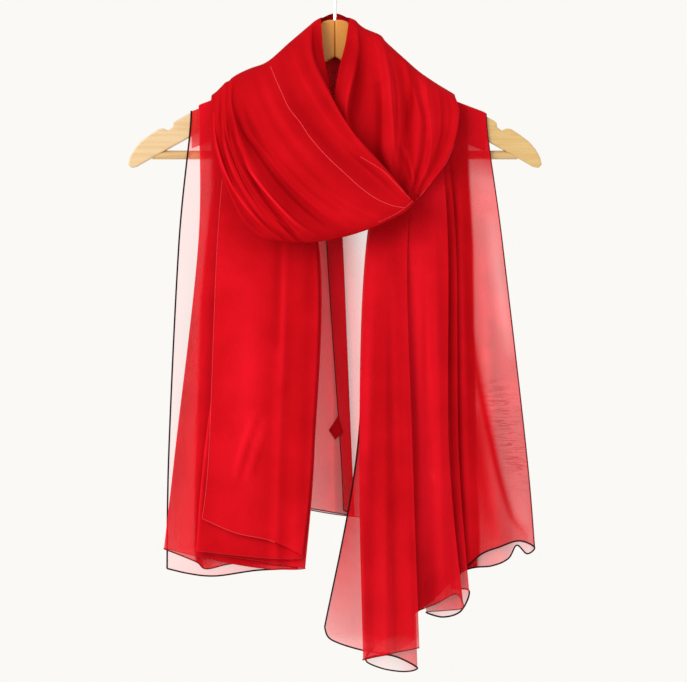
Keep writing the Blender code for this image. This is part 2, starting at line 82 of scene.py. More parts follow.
def lacquered_beech(name, slope, light, dark):
    """Beech under satin lacquer: pale straw with darker streaks along the arm, and short brown flecks.

    The neck, near the middle, is painted a darker amber: painted shade for the scarf that shades it.
    """
    mat, tree, shader, place = start_finish(name)
    along = add_node(
        tree, "ShaderNodeMapping", {"Vector": place, "Rotation": (0.0, slope, 0.0), "Scale": STREAKS}
    )
    streaks = add_node(
        tree,
        "ShaderNodeTexNoise",
        {"Vector": along.outputs[0], "Scale": 1.0, "Detail": 5.0, "Roughness": 0.6},
    )
    tone = add_node(
        tree,
        "ShaderNodeMapRange",
        {"Value": streaks.outputs["Fac"], "From Min": 0.3, "From Max": 0.72, "To Min": 0.0, "To Max": 1.0},
    )
    fleck_place = add_node(
        tree, "ShaderNodeMapping", {"Vector": place, "Rotation": (0.0, slope, 0.0), "Scale": PORES}
    )
    flecks = add_node(
        tree, "ShaderNodeTexNoise", {"Vector": fleck_place.outputs[0], "Scale": 1.0, "Detail": 1.0}
    )
    fleck = add_node(
        tree,
        "ShaderNodeMapRange",
        {"Value": flecks.outputs["Fac"], "From Min": 0.62, "From Max": 0.72, "To Min": 0.0, "To Max": 0.35},
    )
    base = add_node(
        tree,
        "ShaderNodeMix",
        {"Factor": tone.outputs[0], 6: linear(light), 7: linear(dark)},
        data_type="RGBA",
    )
    flecked = add_node(
        tree,
        "ShaderNodeMix",
        {"Factor": fleck.outputs[0], 6: base.outputs[2], 7: linear("#96683a")},
        data_type="RGBA",
    )
    # Painted shade: near the middle the wood is mixed towards a dark amber, for the scarf's shade on the neck.
    sides = add_node(tree, "ShaderNodeSeparateXYZ", {"Vector": place})
    off_middle = add_node(tree, "ShaderNodeMath", {0: sides.outputs["X"]}, operation="ABSOLUTE")
    neck_shade = add_node(
        tree,
        "ShaderNodeMapRange",
        {
            "Value": off_middle.outputs[0],
            "From Min": NECK_SHADE_FROM,
            "From Max": NECK_SHADE_TO,
            "To Min": 0.95,
            "To Max": 0.0,
        },
    )
    neck_shaded = add_node(
        tree,
        "ShaderNodeMix",
        {"Factor": neck_shade.outputs[0], 6: flecked.outputs[2], 7: linear("#cc7f0e")},
        data_type="RGBA",
    )
    tree.links.new(neck_shaded.outputs[2], shader.inputs["Base Color"])
    gloss = add_node(
        tree,
        "ShaderNodeMapRange",
        {"Value": streaks.outputs["Fac"], "From Min": 0.2, "From Max": 0.8, "To Min": 0.34, "To Max": 0.48},
    )
    tree.links.new(gloss.outputs[0], shader.inputs["Roughness"])
    bump = add_node(
        tree, "ShaderNodeBump", {"Height": streaks.outputs["Fac"], "Strength": 0.12, "Distance": 0.0004}
    )
    tree.links.new(bump.outputs[0], shader.inputs["Normal"])
    shader.inputs["Coat Weight"].default_value = 0.25
    shader.inputs["Coat Roughness"].default_value = 0.2
    return mat


def dress(node_name, mat):
    """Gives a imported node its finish."""
    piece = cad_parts[node_name]
    piece.data.materials.clear()
    piece.data.materials.append(mat)
    return piece


ARM_SLOPE = math.radians(33)
left_beech = lacquered_beech("lacquered beech left arm", ARM_SLOPE, "#cdb289", "#bf9d6a")
right_beech = lacquered_beech("lacquered beech right arm", -ARM_SLOPE, "#c9aa72", "#bc9450")
dress("arm_left", left_beech)
dress("arm_right", right_beech)


# ---------------------------------------------------------------------------------------------------------
# The bar between the arms
# A turned beech dowel, lacquered with the arms and pushed into a blind hole at each end.

dress("bar", lacquered_beech("lacquered beech dowel", 0.0, "#c9aa78", "#b98f56"))


# ---------------------------------------------------------------------------------------------------------
# The hook
# Bent from 3.5 mm steel wire and chrome plated, then screwed into the hanger's neck.

# Scuffs 1.7 mm long, as cells to a metre.
SCUFFS = 600.0


def plated_steel_wire():
    """Bright chrome over drawn wire: a clear mirror, broken by faint scuffs along the bend."""
    mat, tree, shader, place = start_finish("chrome plated steel wire")
    shader.inputs["Base Color"].default_value = linear("#e3e2df")
    shader.inputs["Metallic"].default_value = 1.0
    scuffs = add_node(tree, "ShaderNodeTexNoise", {"Vector": place, "Scale": SCUFFS, "Detail": 3.0})
    rough = add_node(
        tree,
        "ShaderNodeMapRange",
        {"Value": scuffs.outputs["Fac"], "From Min": 0.4, "From Max": 0.75, "To Min": 0.08, "To Max": 0.2},
    )
    tree.links.new(rough.outputs[0], shader.inputs["Roughness"])
    return mat


dress("hook", plated_steel_wire())


# ---------------------------------------------------------------------------------------------------------
# The front of the ring
# Polyester chiffon, 0.1 mm thick and dyed scarlet, in several plies. It comes over the left shoulder, fans
# out in soft folds and crosses to the right in front, with its upper edge rolled in.

MM = 0.001
# Pattern cells to a metre. The real threads lie 0.25 mm apart, and are drawn at 0.9 mm so that they show.
THREADS = 1100.0
# Soft patches 40 mm across where the dye took unevenly, and wrinkles 4 to 18 mm long from folding.
DYE_CLOUDS = 24.0
WRINKLES = (240.0, 110.0, 55.0)
# Crimps 3 mm apart and 40 mm long, slightly off level.
CRIMPS = (26.0, 26.0, 300.0)
CRIMP_TURN = 0.3
CRIMP_TONE = -0.5
CRIMP_COVER = 0.18
# Tones at which the cloth has its middle and its bright red.
MIDDLE_TONE, BRIGHT_TONE = 0.4, 0.8


def scarlet_chiffon(name, deep, middle, bright, sheer):
    """Crepe-twisted chiffon: matt scarlet, sheer where single, with a grainy weave and fine crinkles.

    How much one ply covers is painted on the mesh as "cover". "tone" carries painted light and shade:
    darker in folds and shadows, lighter on ridges, edges and where light comes through. "crinkle" marks where
    steam has left it crimped in fine dark lines.
    """
    mat, tree, shader, place = start_finish(name)
    clouds = add_node(tree, "ShaderNodeTexNoise", {"Vector": place, "Scale": DYE_CLOUDS, "Detail": 4.0})
    cloud = add_node(
        tree,
        "ShaderNodeMapRange",
        {"Value": clouds.outputs["Fac"], "From Min": 0.3, "From Max": 0.7, "To Min": -0.07, "To Max": 0.07},
    )
    tone = add_node(tree, "ShaderNodeAttribute", attribute_name="tone")

    weave = add_node(tree, "ShaderNodeTexVoronoi", {"Vector": place, "Scale": THREADS, "Randomness": 0.8})
    drape_place = add_node(tree, "ShaderNodeMapping", {"Vector": place, "Scale": WRINKLES})
    drape = add_node(
        tree,
        "ShaderNodeTexNoise",
        {"Vector": drape_place.outputs[0], "Scale": 1.0, "Detail": 4.0, "Roughness": 0.65},
    )
    crimp_place = add_node(
        tree, "ShaderNodeMapping", {"Vector": place, "Rotation": (0.0, CRIMP_TURN, 0.0), "Scale": CRIMPS}
    )
    crimp = add_node(
        tree,
        "ShaderNodeTexNoise",
        {"Vector": crimp_place.outputs[0], "Scale": 1.0, "Detail": 2.0, "Distortion": 0.3},
    )
    crinkle = add_node(tree, "ShaderNodeAttribute", attribute_name="crinkle")
    off_line = add_node(tree, "ShaderNodeMath", {0: crimp.outputs["Fac"], 1: 0.5}, operation="SUBTRACT")
    from_crest = add_node(tree, "ShaderNodeMath", {0: off_line.outputs[0]}, operation="ABSOLUTE")
    wrinkle = add_node(
        tree,
        "ShaderNodeMapRange",
        {"Value": from_crest.outputs[0], "From Min": 0.0, "From Max": 0.04, "To Min": 1.0, "To Max": 0.0},
    )
    crimped = add_node(
        tree, "ShaderNodeMath", {0: wrinkle.outputs[0], 1: crinkle.outputs["Fac"]}, operation="MULTIPLY"
    )
    # Painted shade and highlights from the tone, with the dye's real uneven clouds added.
    dye_and_shade = add_node(tree, "ShaderNodeMath", {0: tone.outputs["Fac"], 1: cloud.outputs[0]}, operation="ADD")
    lie = add_node(
        tree,
        "ShaderNodeMath",
        {0: crimped.outputs[0], 1: CRIMP_TONE, 2: dye_and_shade.outputs[0]},
        operation="MULTIPLY_ADD",
        use_clamp=True,
    )
    # The ramp: deep red for painted shade, the plain middle red, bright red for painted light, and the sheer
    # pink for the painted light that comes through a single ply.
    ramp = add_node(tree, "ShaderNodeValToRGB", {"Fac": lie.outputs[0]})
    ramp.color_ramp.elements[0].color = linear(deep)
    ramp.color_ramp.elements[1].color = linear(sheer)
    ramp.color_ramp.elements.new(MIDDLE_TONE).color = linear(middle)
    ramp.color_ramp.elements.new(BRIGHT_TONE).color = linear(bright)
    tree.links.new(ramp.outputs["Color"], shader.inputs["Base Color"])

    woven = add_node(
        tree,
        "ShaderNodeMath",
        {0: weave.outputs["Distance"], 1: 0.5, 2: drape.outputs["Fac"]},
        operation="MULTIPLY_ADD",
    )
    height = add_node(
        tree,
        "ShaderNodeMath",
        {0: crimped.outputs[0], 1: -1.0, 2: woven.outputs[0]},
        operation="MULTIPLY_ADD",
    )
    bump = add_node(
        tree, "ShaderNodeBump", {"Height": height.outputs[0], "Strength": 0.25, "Distance": 0.0012}
    )
    tree.links.new(bump.outputs[0], shader.inputs["Normal"])

    cover = add_node(tree, "ShaderNodeAttribute", attribute_name="cover")
    threads = add_node(
        tree,
        "ShaderNodeMapRange",
        {
            "Value": weave.outputs["Distance"],
            "From Min": 0.1,
            "From Max": 0.7,
            "To Min": 0.94,
            "To Max": 1.06,
        },
    )
    creased = add_node(
        tree,
        "ShaderNodeMath",
        {0: crimped.outputs[0], 1: CRIMP_COVER, 2: cover.outputs["Fac"]},
        operation="MULTIPLY_ADD",
    )
    solid = add_node(
        tree,
        "ShaderNodeMath",
        {0: creased.outputs[0], 1: threads.outputs[0]},
        operation="MULTIPLY",
        use_clamp=True,
    )
    tree.links.new(solid.outputs[0], shader.inputs["Alpha"])
    shader.inputs["Roughness"].default_value = 0.8
    shader.inputs["Specular IOR Level"].default_value = 0.03
    return mat


# deep is the painted shade, bright the painted light, and sheer the painted light through a single ply.
CHIFFON = scarlet_chiffon("scarlet crepe chiffon", "#860005", "#ad0610", "#d2101f", "#ff3340")
# A cover for stretches that lie in so many plies that nothing shows through.
OPAQUE = 1.1
# A sheer ply is painted lighter, for the light that comes through it, by SHEER_LIGHT times what it leaves
# uncovered, to the power SHEER_POWER. What it leaves uncovered beyond half counts no more.
SHEER_LIGHT = 0.75
SHEER_POWER = 0.7
SHEER_MOST = 0.5


def lay_sheet(name, grid, cover, tone, crinkle=0.0):
    """One stretch of chiffon from a grid of (x, drop, front) in mm, painted with its cover and tone.

    A full tone gives the bright red. Where the cloth is sheer it's painted lighter still: painted light for
    the light that comes through it from both sides.
    """
    grid = np.array(grid, float)
    light_through = SHEER_LIGHT * np.clip(1.0 - np.asarray(cover), 0.0, SHEER_MOST) ** SHEER_POWER
    tone = np.clip(BRIGHT_TONE * tone + light_through, 0.0, 1.0)
    across, down = grid.shape[:2]
    flat = grid.reshape(-1, 3)
    points = np.column_stack((flat[:, 0], -flat[:, 2], -flat[:, 1])) * MM
    number = np.arange(across * down).reshape(across, down)
    faces = np.stack((number[:-1, :-1], number[:-1, 1:], number[1:, 1:], number[1:, :-1]), -1).reshape(-1, 4)
    mesh = bpy.data.meshes.new(name)
    mesh.from_pydata(points.tolist(), [], faces.tolist())
    mesh.polygons.foreach_set("use_smooth", [True] * len(mesh.polygons))
    paints = {"cover": cover, "tone": tone, "crinkle": crinkle}
    for paint, value in paints.items():
        layer = mesh.attributes.new(paint, "FLOAT", "POINT")
        layer.data.foreach_set("value", np.broadcast_to(value, (across, down)).astype(np.float32).ravel())
    mesh.materials.append(CHIFFON)
    piece = bpy.data.objects.new(name, mesh)
    bpy.context.scene.collection.objects.link(piece)
    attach(piece, "root")
    return piece


def blend(values, position):
    """Catmull-Rom value at a position counted in rows of an array."""
    last = len(values) - 1
    i = min(int(position), last - 1)
    t = position - i
    a, b, c, d = (values[min(max(k, 0), last)] for k in (i - 1, i, i + 1, i + 2))
    bend, twist = 2 * a - 5 * b + 4 * c - d, 3 * b - a - 3 * c + d
    return 0.5 * (2 * b + (c - a) * t + bend * t * t + twist * t ** 3)


def smooth_line(points, count):
    """Centripetal Catmull-Rom through points at uneven distances, as count + 1 points."""
    points = np.array(points, float)
    points = np.vstack((2 * points[0] - points[1], points, 2 * points[-1] - points[-2]))
    knots = np.concatenate(([0.0], np.cumsum(np.linalg.norm(np.diff(points, axis=0), axis=1) ** 0.5)))
    at = np.linspace(knots[1], knots[-2], count + 1)
    i = np.clip(np.searchsorted(knots, at, side="right") - 1, 1, len(points) - 3)

    def slope(a, b):
        return (points[b] - points[a]) / (knots[b] - knots[a])[:, None]

    wide = (knots[i + 1] - knots[i])[:, None]
    leave = (slope(i - 1, i) - slope(i - 1, i + 1) + slope(i, i + 1)) * wide
    reach = (slope(i, i + 1) - slope(i, i + 2) + slope(i + 1, i + 2)) * wide
    s = (at - knots[i])[:, None] / wide
    start, end = points[i], points[i + 1]
    span = end - start
    return start + s * leave + s * s * (3 * span - 2 * leave - reach) + s ** 3 * (leave + reach - 2 * span)


def from_line(grid, line):
    """How far each point lies from a line of (x, drop), seen from the front, and its share along the line."""
    x, drop = grid[..., 0], grid[..., 1]
    line = smooth_line(line, 8 * (len(line) - 1))
    steps = np.linalg.norm(np.diff(line, axis=0), axis=1)
    run = np.concatenate(([0.0], np.cumsum(steps)))
    nearest, share = np.full(x.shape, 1e9), np.zeros(x.shape)
    for (x0, drop0), (x1, drop1), step, begun in zip(line, line[1:], steps, run):
        t = np.clip(((x - x0) * (x1 - x0) + (drop - drop0) * (drop1 - drop0)) / step ** 2, 0, 1)
        away = np.hypot(x - x0 - t * (x1 - x0), drop - drop0 - t * (drop1 - drop0))
        share = np.where(away < nearest, (begun + t * step) / run[-1], share)
        nearest = np.minimum(away, nearest)
    return nearest, share


def crease_height(grid, creases):
    """Height of the given creases: each has a height and a width in mm, and a line of (x, drop)."""
    height = np.zeros(grid.shape[:2])
    for tall, width, line in creases:
        away, share = from_line(grid, line)
        height += tall * np.sin(np.pi * share) ** 0.5 * np.exp(-((away / width) ** 2))
    return height


def raised(grid, height):
    """A grid moved by a height along its own normal, towards the front."""
    normal = np.cross(np.gradient(grid, axis=0), np.gradient(grid, axis=1))
    normal /= np.maximum(np.linalg.norm(normal, axis=2, keepdims=True), 1e-9)
    return grid + normal * height[:, :, None] * np.sign(np.median(normal[:, :, 2]))


def relief(grid, reach):
    """How far each point stands in front of the mean of its neighbours across the folds."""
    front = np.pad(grid[:, :, 2], ((reach, reach), (0, 0)), "edge")
    total = np.cumsum(np.pad(front, ((1, 0), (0, 0))), axis=0)
    width = 2 * reach + 1
    return grid[:, :, 2] - (total[width:] - total[:-width]) / width


# Each row is a fold: how far it lies back of the crests, then (x, drop) on the shoulder and at each station
# down the front.
FRONT_FOLDS = (
    ("neck edge", 12, (-15, 59), (-12, 100), (-4, 142), (9, 191), (43, 230), (76, 256), (79, 247)),
    ("inner panel", 13, (-22, 63), (-20, 102), (-7, 139), (14, 186), (50, 226), (83, 260), (87, 251)),
    ("rolled edge", 0, (-28, 68), (-26, 103), (-11, 137), (18, 185), (53, 225), (84, 261), (88, 253)),
    ("upper panel", 1, (-49, 86), (-42, 116), (-26, 153), (5, 196), (42, 236), (76, 270), (80, 261)),
    ("hem line", 1, (-72, 106), (-61, 131), (-43, 168), (-11, 205), (29, 248), (66, 276), (70, 266)),
    ("broad panel", 0, (-92, 114), (-84, 140), (-66, 180), (-39, 220), (-5, 256), (38, 289), (44, 279)),
    ("deep valley", 10, (-105, 120), (-106, 148), (-90, 190), (-65, 228), (-33, 266), (5, 299), (11, 290)),
    ("first ridge", 1, (-111, 124), (-111, 156), (-99, 198), (-79, 238), (-54, 274), (-26, 304), (-20, 295)),
    ("first valley", 5, (-114, 127), (-114, 160), (-104, 202), (-85, 239), (-62, 273), (-33, 304), (-28, 295)),
    ("second ridge", 1, (-118, 129), (-118, 166), (-109, 206), (-92, 241), (-69, 272), (-40, 304), (-35, 295)),
    ("second valley", 5, (-121, 132), (-121, 169), (-112, 208), (-96, 244), (-75, 275), (-46, 304), (-41, 295)),
    ("third ridge", 1, (-124, 135), (-125, 172), (-115, 210), (-101, 248), (-81, 278), (-53, 303), (-48, 294)),
    ("third valley", 5, (-128, 139), (-129, 175), (-120, 212), (-106, 250), (-89, 280), (-63, 302), (-58, 293)),
    ("outer edge", 3, (-133, 143), (-134, 178), (-125, 214), (-112, 252), (-97, 281), (-76, 299), (-71, 290)),
    ("underside", 17, (-130, 145), (-131, 180), (-122, 216), (-109, 252), (-93, 279), (-73, 297), (-68, 288)),
)
# How far the crests stand to the front on the shoulder, at the brow just below it, and at each station.
# SHARE is how much of a fold's own depth counts there.
SHOULDER_FRONT = -3.0
BROW_DROP = 4.0
FRONT_CRESTS = (SHOULDER_FRONT, 18.0, 34.0, 50.0, 64.0, 68.0, 62.0, 50.0)
FRONT_SHARE = (0.0, 0.1, 0.6, 1.0, 1.0, 1.0, 0.6, 0.5)
# Creases: height and width in mm, line of (x, drop).
FRONT_CREASES = (
    (1.4, 3.0, ((-46, 92), (-38, 118), (-22, 150), (2, 186), (22, 205))),
    (-1.6, 4.0, ((-36, 84), (-31, 108), (-16, 142), (8, 178), (24, 196))),
    (1.2, 2.0, ((20, 207), (38, 219), (54, 231), (68, 245), (80, 259))),
    (-1.2, 2.2, ((14, 208), (33, 222), (50, 236), (66, 251), (78, 262))),
    (1.0, 2.0, ((4, 200), (24, 218), (44, 236), (60, 252))),
    (-1.4, 6.0, ((-60, 108), (-52, 134), (-36, 168), (-10, 196), (14, 222))),
    (1.4, 6.0, ((-78, 116), (-72, 140), (-52, 180), (-24, 214), (6, 246))),
    (-1.2, 4.0, ((-86, 122), (-76, 152), (-56, 190), (-28, 226), (2, 256), (36, 276))),
    (2.2, 3.0, ((-103, 146), (-92, 184), (-72, 211), (-53, 235), (-31, 256), (-5, 276), (18, 286))),
    (-1.4, 2.6, ((-96, 160), (-82, 188), (-64, 212), (-44, 234), (-20, 256), (6, 272))),
    (1.2, 2.0, ((-28, 232), (-6, 250), (20, 266), (44, 276), (62, 278))),
    (-1.1, 2.4, ((-44, 240), (-22, 260), (4, 280), (30, 288))),
    (2.0, 1.8, ((-107, 178), (-100, 205), (-86, 232), (-66, 259), (-44, 281), (-27, 293))),
    (1.6, 1.6, ((-97, 214), (-82, 240), (-62, 264), (-40, 285), (-16, 298))),
    (-1.8, 1.6, ((-103, 200), (-92, 226), (-74, 252), (-54, 275), (-36, 292))),
    (2.0, 1.6, ((-121, 160), (-118, 190), (-109, 220), (-94, 250), (-74, 276), (-52, 296))),
    (-2.0, 1.5, ((-115, 172), (-110, 202), (-99, 232), (-82, 258), (-62, 280), (-42, 296))),
    (-1.6, 1.5, ((-126, 168), (-123, 196), (-114, 226), (-100, 253), (-80, 277), (-60, 298))),
    (1.6, 1.5, ((-130, 162), (-128, 190), (-120, 220), (-108, 246), (-92, 270), (-70, 293))),
)


def ring_sheet(rows, crests, share, per_fold, steps):
    """The folds of one side of the ring, blended across and smoothed along."""
    folds = []
    for row in rows:
        back, shoulder, *down = row[1:]
        stations = (shoulder, (shoulder[0], shoulder[1] + BROW_DROP), *down)
        fold = [(x, drop, crest - back * part) for (x, drop), crest, part in zip(stations, crests, share)]
        folds.append(fold)
    folds = np.array(folds, float)
    count = (len(rows) - 1) * per_fold
    return np.array([smooth_line(blend(folds, i / per_fold), steps) for i in range(count + 1)])


# How much lighter the cloth is painted, as painted highlight, for each mm that a fold or a crease stands out.
FOLD_LIGHT = 0.02
CREASE_LIGHT = 0.07


def fold_tone(grid, height, shades, reach):
    """Painted shade in the valleys and painted highlights on the ridges, by how far the cloth stands out."""
    lit = MIDDLE_TONE + FOLD_LIGHT * relief(grid, reach) + CREASE_LIGHT * height
    return np.clip(lit + crease_height(grid, shades), 0.0, 1.0)


# Painted shade and painted highlights along lines: tone change, width in mm, line of (x, drop).
FRONT_SHADES = (
    (
        -0.38,
        4.0,
        ((-22, 68), (-15, 100), (-7, 122), (4, 145), (20, 173), (38, 200), (56, 222), (70, 236), (82, 256)),
    ),
    (0.16, 3.0, ((-30, 76), (-25, 101), (-16, 123), (-5, 145), (11, 175), (27, 201), (48, 220), (63, 234))),
    (-0.10, 6.0, ((-58, 104), (-48, 134), (-30, 168), (-4, 204), (26, 234), (52, 252))),
    (0.16, 24.0, ((-36, 250), (-4, 270), (30, 270), (62, 258), (78, 256))),
    (-0.14, 5.0, ((-104, 146), (-92, 176), (-80, 203), (-58, 234), (-32, 262), (-4, 286), (14, 296))),
    (0.16, 3.0, ((-98, 146), (-84, 178), (-70, 204), (-48, 232), (-22, 258), (8, 282))),
    (-0.42, 1.7, ((-106, 164), (-98, 186), (-86, 203), (-64, 235), (-34, 267), (-8, 288))),
    (0.36, 1.2, ((-112, 190), (-99, 218), (-81, 240), (-58, 268), (-38, 288))),
    (-0.20, 1.8, ((-113, 158), (-108, 192), (-96, 224), (-78, 252), (-58, 276), (-42, 294))),
    (0.40, 1.1, ((-122, 168), (-116, 206), (-106, 233), (-93, 256), (-77, 277), (-60, 292))),
    (-0.20, 1.6, ((-124, 164), (-120, 196), (-110, 228), (-97, 254), (-80, 279), (-64, 296))),
    (0.42, 1.1, ((-131, 160), (-128, 192), (-120, 222), (-108, 247), (-94, 267), (-76, 288))),
    (-0.15, 8.0, ((-76, 298), (-40, 304), (0, 300), (40, 289), (70, 272))),
)
front_grid = ring_sheet(FRONT_FOLDS, FRONT_CRESTS, FRONT_SHARE, per_fold=20, steps=130)
front_height = crease_height(front_grid, FRONT_CREASES)
front_grid = raised(front_grid, front_height)
front_tone = fold_tone(front_grid, front_height, FRONT_SHADES, reach=22)
cowl_front = lay_sheet("ring_front", front_grid, OPAQUE, front_tone)
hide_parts("cowl_front")


# Stitches 2.4 mm apart, as cells to a metre.
STITCHES = 420.0


def rolled_hem(name, dark, light):
    """A hem of chiffon rolled on itself and stitched, so dense that it reads as a thin cord."""
    mat, tree, shader, place = start_finish(name)
    stitches = add_node(tree, "ShaderNodeTexNoise", {"Vector": place, "Scale": STITCHES, "Detail": 2.0})
    colour = add_node(
        tree,
        "ShaderNodeMix",
        {"Factor": stitches.outputs["Fac"], 6: linear(dark), 7: linear(light)},
        data_type="RGBA",
    )
    tree.links.new(colour.outputs[2], shader.inputs["Base Color"])
    bump = add_node(
        tree, "ShaderNodeBump", {"Height": stitches.outputs["Fac"], "Strength": 0.5, "Distance": 0.0006}
    )
    tree.links.new(bump.outputs[0], shader.inputs["Normal"])
    shader.inputs["Roughness"].default_value = 0.8
    shader.inputs["Specular IOR Level"].default_value = 0.1
    return mat


# A rolled hem coloured lighter than the cloth: a painted highlight along the edge.
LIGHT_HEM = rolled_hem("rolled hem with painted highlight", "#c41c24", "#dc3a42")


def roll_hem(name, points, mat, radius=0.9):
    """A rolled hem along a line of (x, drop, front), with its radius in mm."""
    curve = bpy.data.curves.new(name, "CURVE")
    curve.dimensions = "3D"
    curve.bevel_depth = radius * MM
    curve.bevel_resolution = 1
    curve.use_fill_caps = True
    spline = curve.splines.new("POLY")
    spline.points.add(len(points) - 1)
    for target, (x, drop, front) in zip(spline.points, points):
        target.co = (x * MM, -front * MM, -drop * MM, 1.0)
    curve.materials.append(mat)
    piece = bpy.data.objects.new(name, curve)
    bpy.context.scene.collection.objects.link(piece)
    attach(piece, "root")
    return piece


# How many of a sheet's points a hem rests on, and how many mm behind the foremost one the others may lie.
NEAREST = 12
FOLD_DEPTH = 6


def on_sheet(grid, line, lift):
    """Points of (x, drop, front) where a line of (x, drop) lies on the front of a sheet.

    Each rests on the nearest points of the sheet, without those that lie down in a fold behind.
    """
    flat = grid.reshape(-1, 3)
    points = []
    for x, drop in smooth_line(line, 10 * (len(line) - 1)):
        away = np.hypot(flat[:, 0] - x, flat[:, 1] - drop)
        near = flat[np.argsort(away)[:NEAREST], 2]
        points.append((x, drop, near[near > near.max() - FOLD_DEPTH].mean() + lift))
    return points


# The scarf's long hem lies on the ring, a second one follows the rolled edge, and a third the lower edge.
RING_HEM = (
    (-69, 114), (-63, 129), (-56, 145), (-49, 160), (-36, 177), (-27, 191), (-9, 212), (10, 230), (29, 247),
    (45, 258), (62, 265), (74, 267),
)
ROLLED_EDGE = ((27, 213), (51, 228), (66, 243), (80, 258))
LOWER_EDGE = ((84, 258), (76, 266), (66, 272.8), (56, 278), (46, 282.5))
ring_hem = roll_hem("ring_hem", on_sheet(front_grid, RING_HEM, lift=0.2), LIGHT_HEM, radius=0.55)
ring_second_hem = roll_hem(
    "ring_second_hem", on_sheet(front_grid, ROLLED_EDGE, lift=0.1), LIGHT_HEM, radius=0.35
)
ring_lower_hem = roll_hem("ring_lower_hem", on_sheet(front_grid, LOWER_EDGE, lift=0.1), LIGHT_HEM, radius=0.3)


# ---------------------------------------------------------------------------------------------------------
# The right side of the ring
# The same chiffon comes over the right shoulder in steep folds and narrows to the crossing, where it goes in
# under the front stretch.

# The columns are those of FRONT_FOLDS, and the lists below it go with it in the same way.
RIGHT_FOLDS = (
    ("neck edge", 6, (15, 59), (11, 90), (4, 118), (0, 146), (2, 172), (12, 197)),
    ("first ridge", 0, (22, 62), (24, 94), (17, 131), (12, 165), (18, 193), (31, 216)),
    ("first wall", 7, (26, 66), (29, 98), (25, 135), (21, 170), (28, 199), (38, 223)),
    ("first valley", 9, (33, 71), (38, 103), (38, 140), (37, 175), (43, 205), (49, 231)),
    ("second ridge", 0, (49, 78), (53, 107), (57, 148), (57, 188), (58, 221), (61, 245)),
    ("second slope", 3, (55, 85), (62, 114), (68, 154), (67, 193), (65, 226), (65, 248)),
    ("second valley", 8, (68, 97), (74, 126), (79, 162), (77, 198), (73, 231), (70, 251)),
    ("third ridge", 0, (77, 105), (82, 133), (90, 168), (88, 202), (82, 236), (75, 255)),
    ("third valley", 4, (87, 114), (92, 141), (98, 175), (96, 209), (86, 240), (79, 258)),
    ("fourth ridge", 0, (96, 121), (100, 146), (105, 182), (102, 213), (90, 242), (83, 259)),
    ("fourth valley", 4, (111, 131), (116, 154), (117, 186), (109, 218), (94, 243), (87, 258)),
    ("outer edge", 2, (129, 142), (133, 161), (128, 195), (115, 224), (99, 244), (90, 256)),
    ("underside", 12, (125, 142), (130, 163), (125, 196), (112, 223), (96, 242), (87, 254)),
)
RIGHT_CRESTS = (SHOULDER_FRONT, 18.0, 30.0, 38.0, 43.0, 44.0, 42.0)
RIGHT_SHARE = (0.0, 0.1, 0.6, 1.0, 1.0, 0.9, 0.8)
RIGHT_CREASES = (
    (1.1, 2.0, ((24, 112), (17, 135), (13, 153), (12, 172), (18, 192))),
    (-1.2, 3.0, ((40, 110), (46, 143), (47, 178), (46, 206), (54, 226))),
    (0.9, 2.2, ((44, 84), (48, 112), (52, 150), (51, 184), (53, 212))),
    (1.3, 2.0, ((53, 98), (58, 127), (60, 153), (62, 179), (64, 205), (70, 226))),
    (-1.0, 2.0, ((60, 104), (66, 135), (68, 165), (68, 195))),
    (-1.2, 3.0, ((80, 110), (82, 135), (80, 158), (79, 180), (80, 204))),
    (1.4, 2.2, ((72, 196), (79, 215), (84, 239), (82, 248), (78, 254))),
    (-1.0, 2.2, ((70, 200), (76, 218), (81, 240))),
    (1.0, 1.4, ((98, 128), (100, 161), (103, 187), (101, 213), (95, 236))),
    (0.8, 2.2, ((110, 136), (113, 160), (112, 188), (104, 216))),
    (-0.9, 2.0, ((121, 142), (125, 164), (120, 194), (110, 220))),
)
# Painted shade and painted highlights along lines, in the columns of FRONT_SHADES.
RIGHT_SHADES = (
    (-0.40, 8.0, ((18, 84), (23, 106), (24, 127), (21, 154), (17, 180), (24, 204), (40, 228))),
    (-0.25, 5.0, ((18, 64), (14, 90), (6, 120), (2, 150))),
    (0.15, 2.2, ((24, 100), (17, 128), (13, 150), (12, 170), (18, 192))),
    (-0.34, 5.0, ((44, 130), (47, 160), (47, 184), (46, 208), (52, 224), (66, 238))),
    (0.14, 6.0, ((58, 96), (62, 127), (65, 153), (66, 182), (68, 208), (78, 234))),
    (-0.24, 3.5, ((82, 110), (82, 131), (81, 156), (79, 181), (80, 206), (86, 236))),
    (0.16, 4.0, ((92, 120), (95, 154), (98, 181), (96, 208), (94, 236))),
    (-0.12, 5.0, ((114, 140), (115, 164), (113, 190), (104, 220))),
)
# How much lighter this side is painted than the front: painted light.
RIGHT_LIGHT = 0.12
right_grid = ring_sheet(RIGHT_FOLDS, RIGHT_CRESTS, RIGHT_SHARE, per_fold=20, steps=110)
right_height = crease_height(right_grid, RIGHT_CREASES)
right_grid = raised(right_grid, right_height)
right_tone = RIGHT_LIGHT + fold_tone(right_grid, right_height, RIGHT_SHADES, reach=24)
cowl_right = lay_sheet("ring_right", right_grid, OPAQUE, right_tone)
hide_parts("cowl_right")
OUTER_HEM = ((133, 160), (131, 179), (126, 202), (117, 221), (107, 234), (98, 245), (90, 255), (82, 261))
ring_outer_hem = roll_hem("ring_outer_hem", on_sheet(right_grid, OUTER_HEM, lift=0.2), LIGHT_HEM, radius=0.45)


# ---------------------------------------------------------------------------------------------------------
# The scarf behind the neck
# The same chiffon goes from the left shoulder round behind the neck to the right one, and hangs there in
# shallow swags.

# How far the swag bulges back and sags at its upper and at its lower edge, and its big folds between them.
BACK_DEPTH = (12.0, 34.0)
BACK_SAG = (-5.5, 58.0)
BACK_FOLDS = 3.5
BACK_FOLD_DEPTH = 3.5
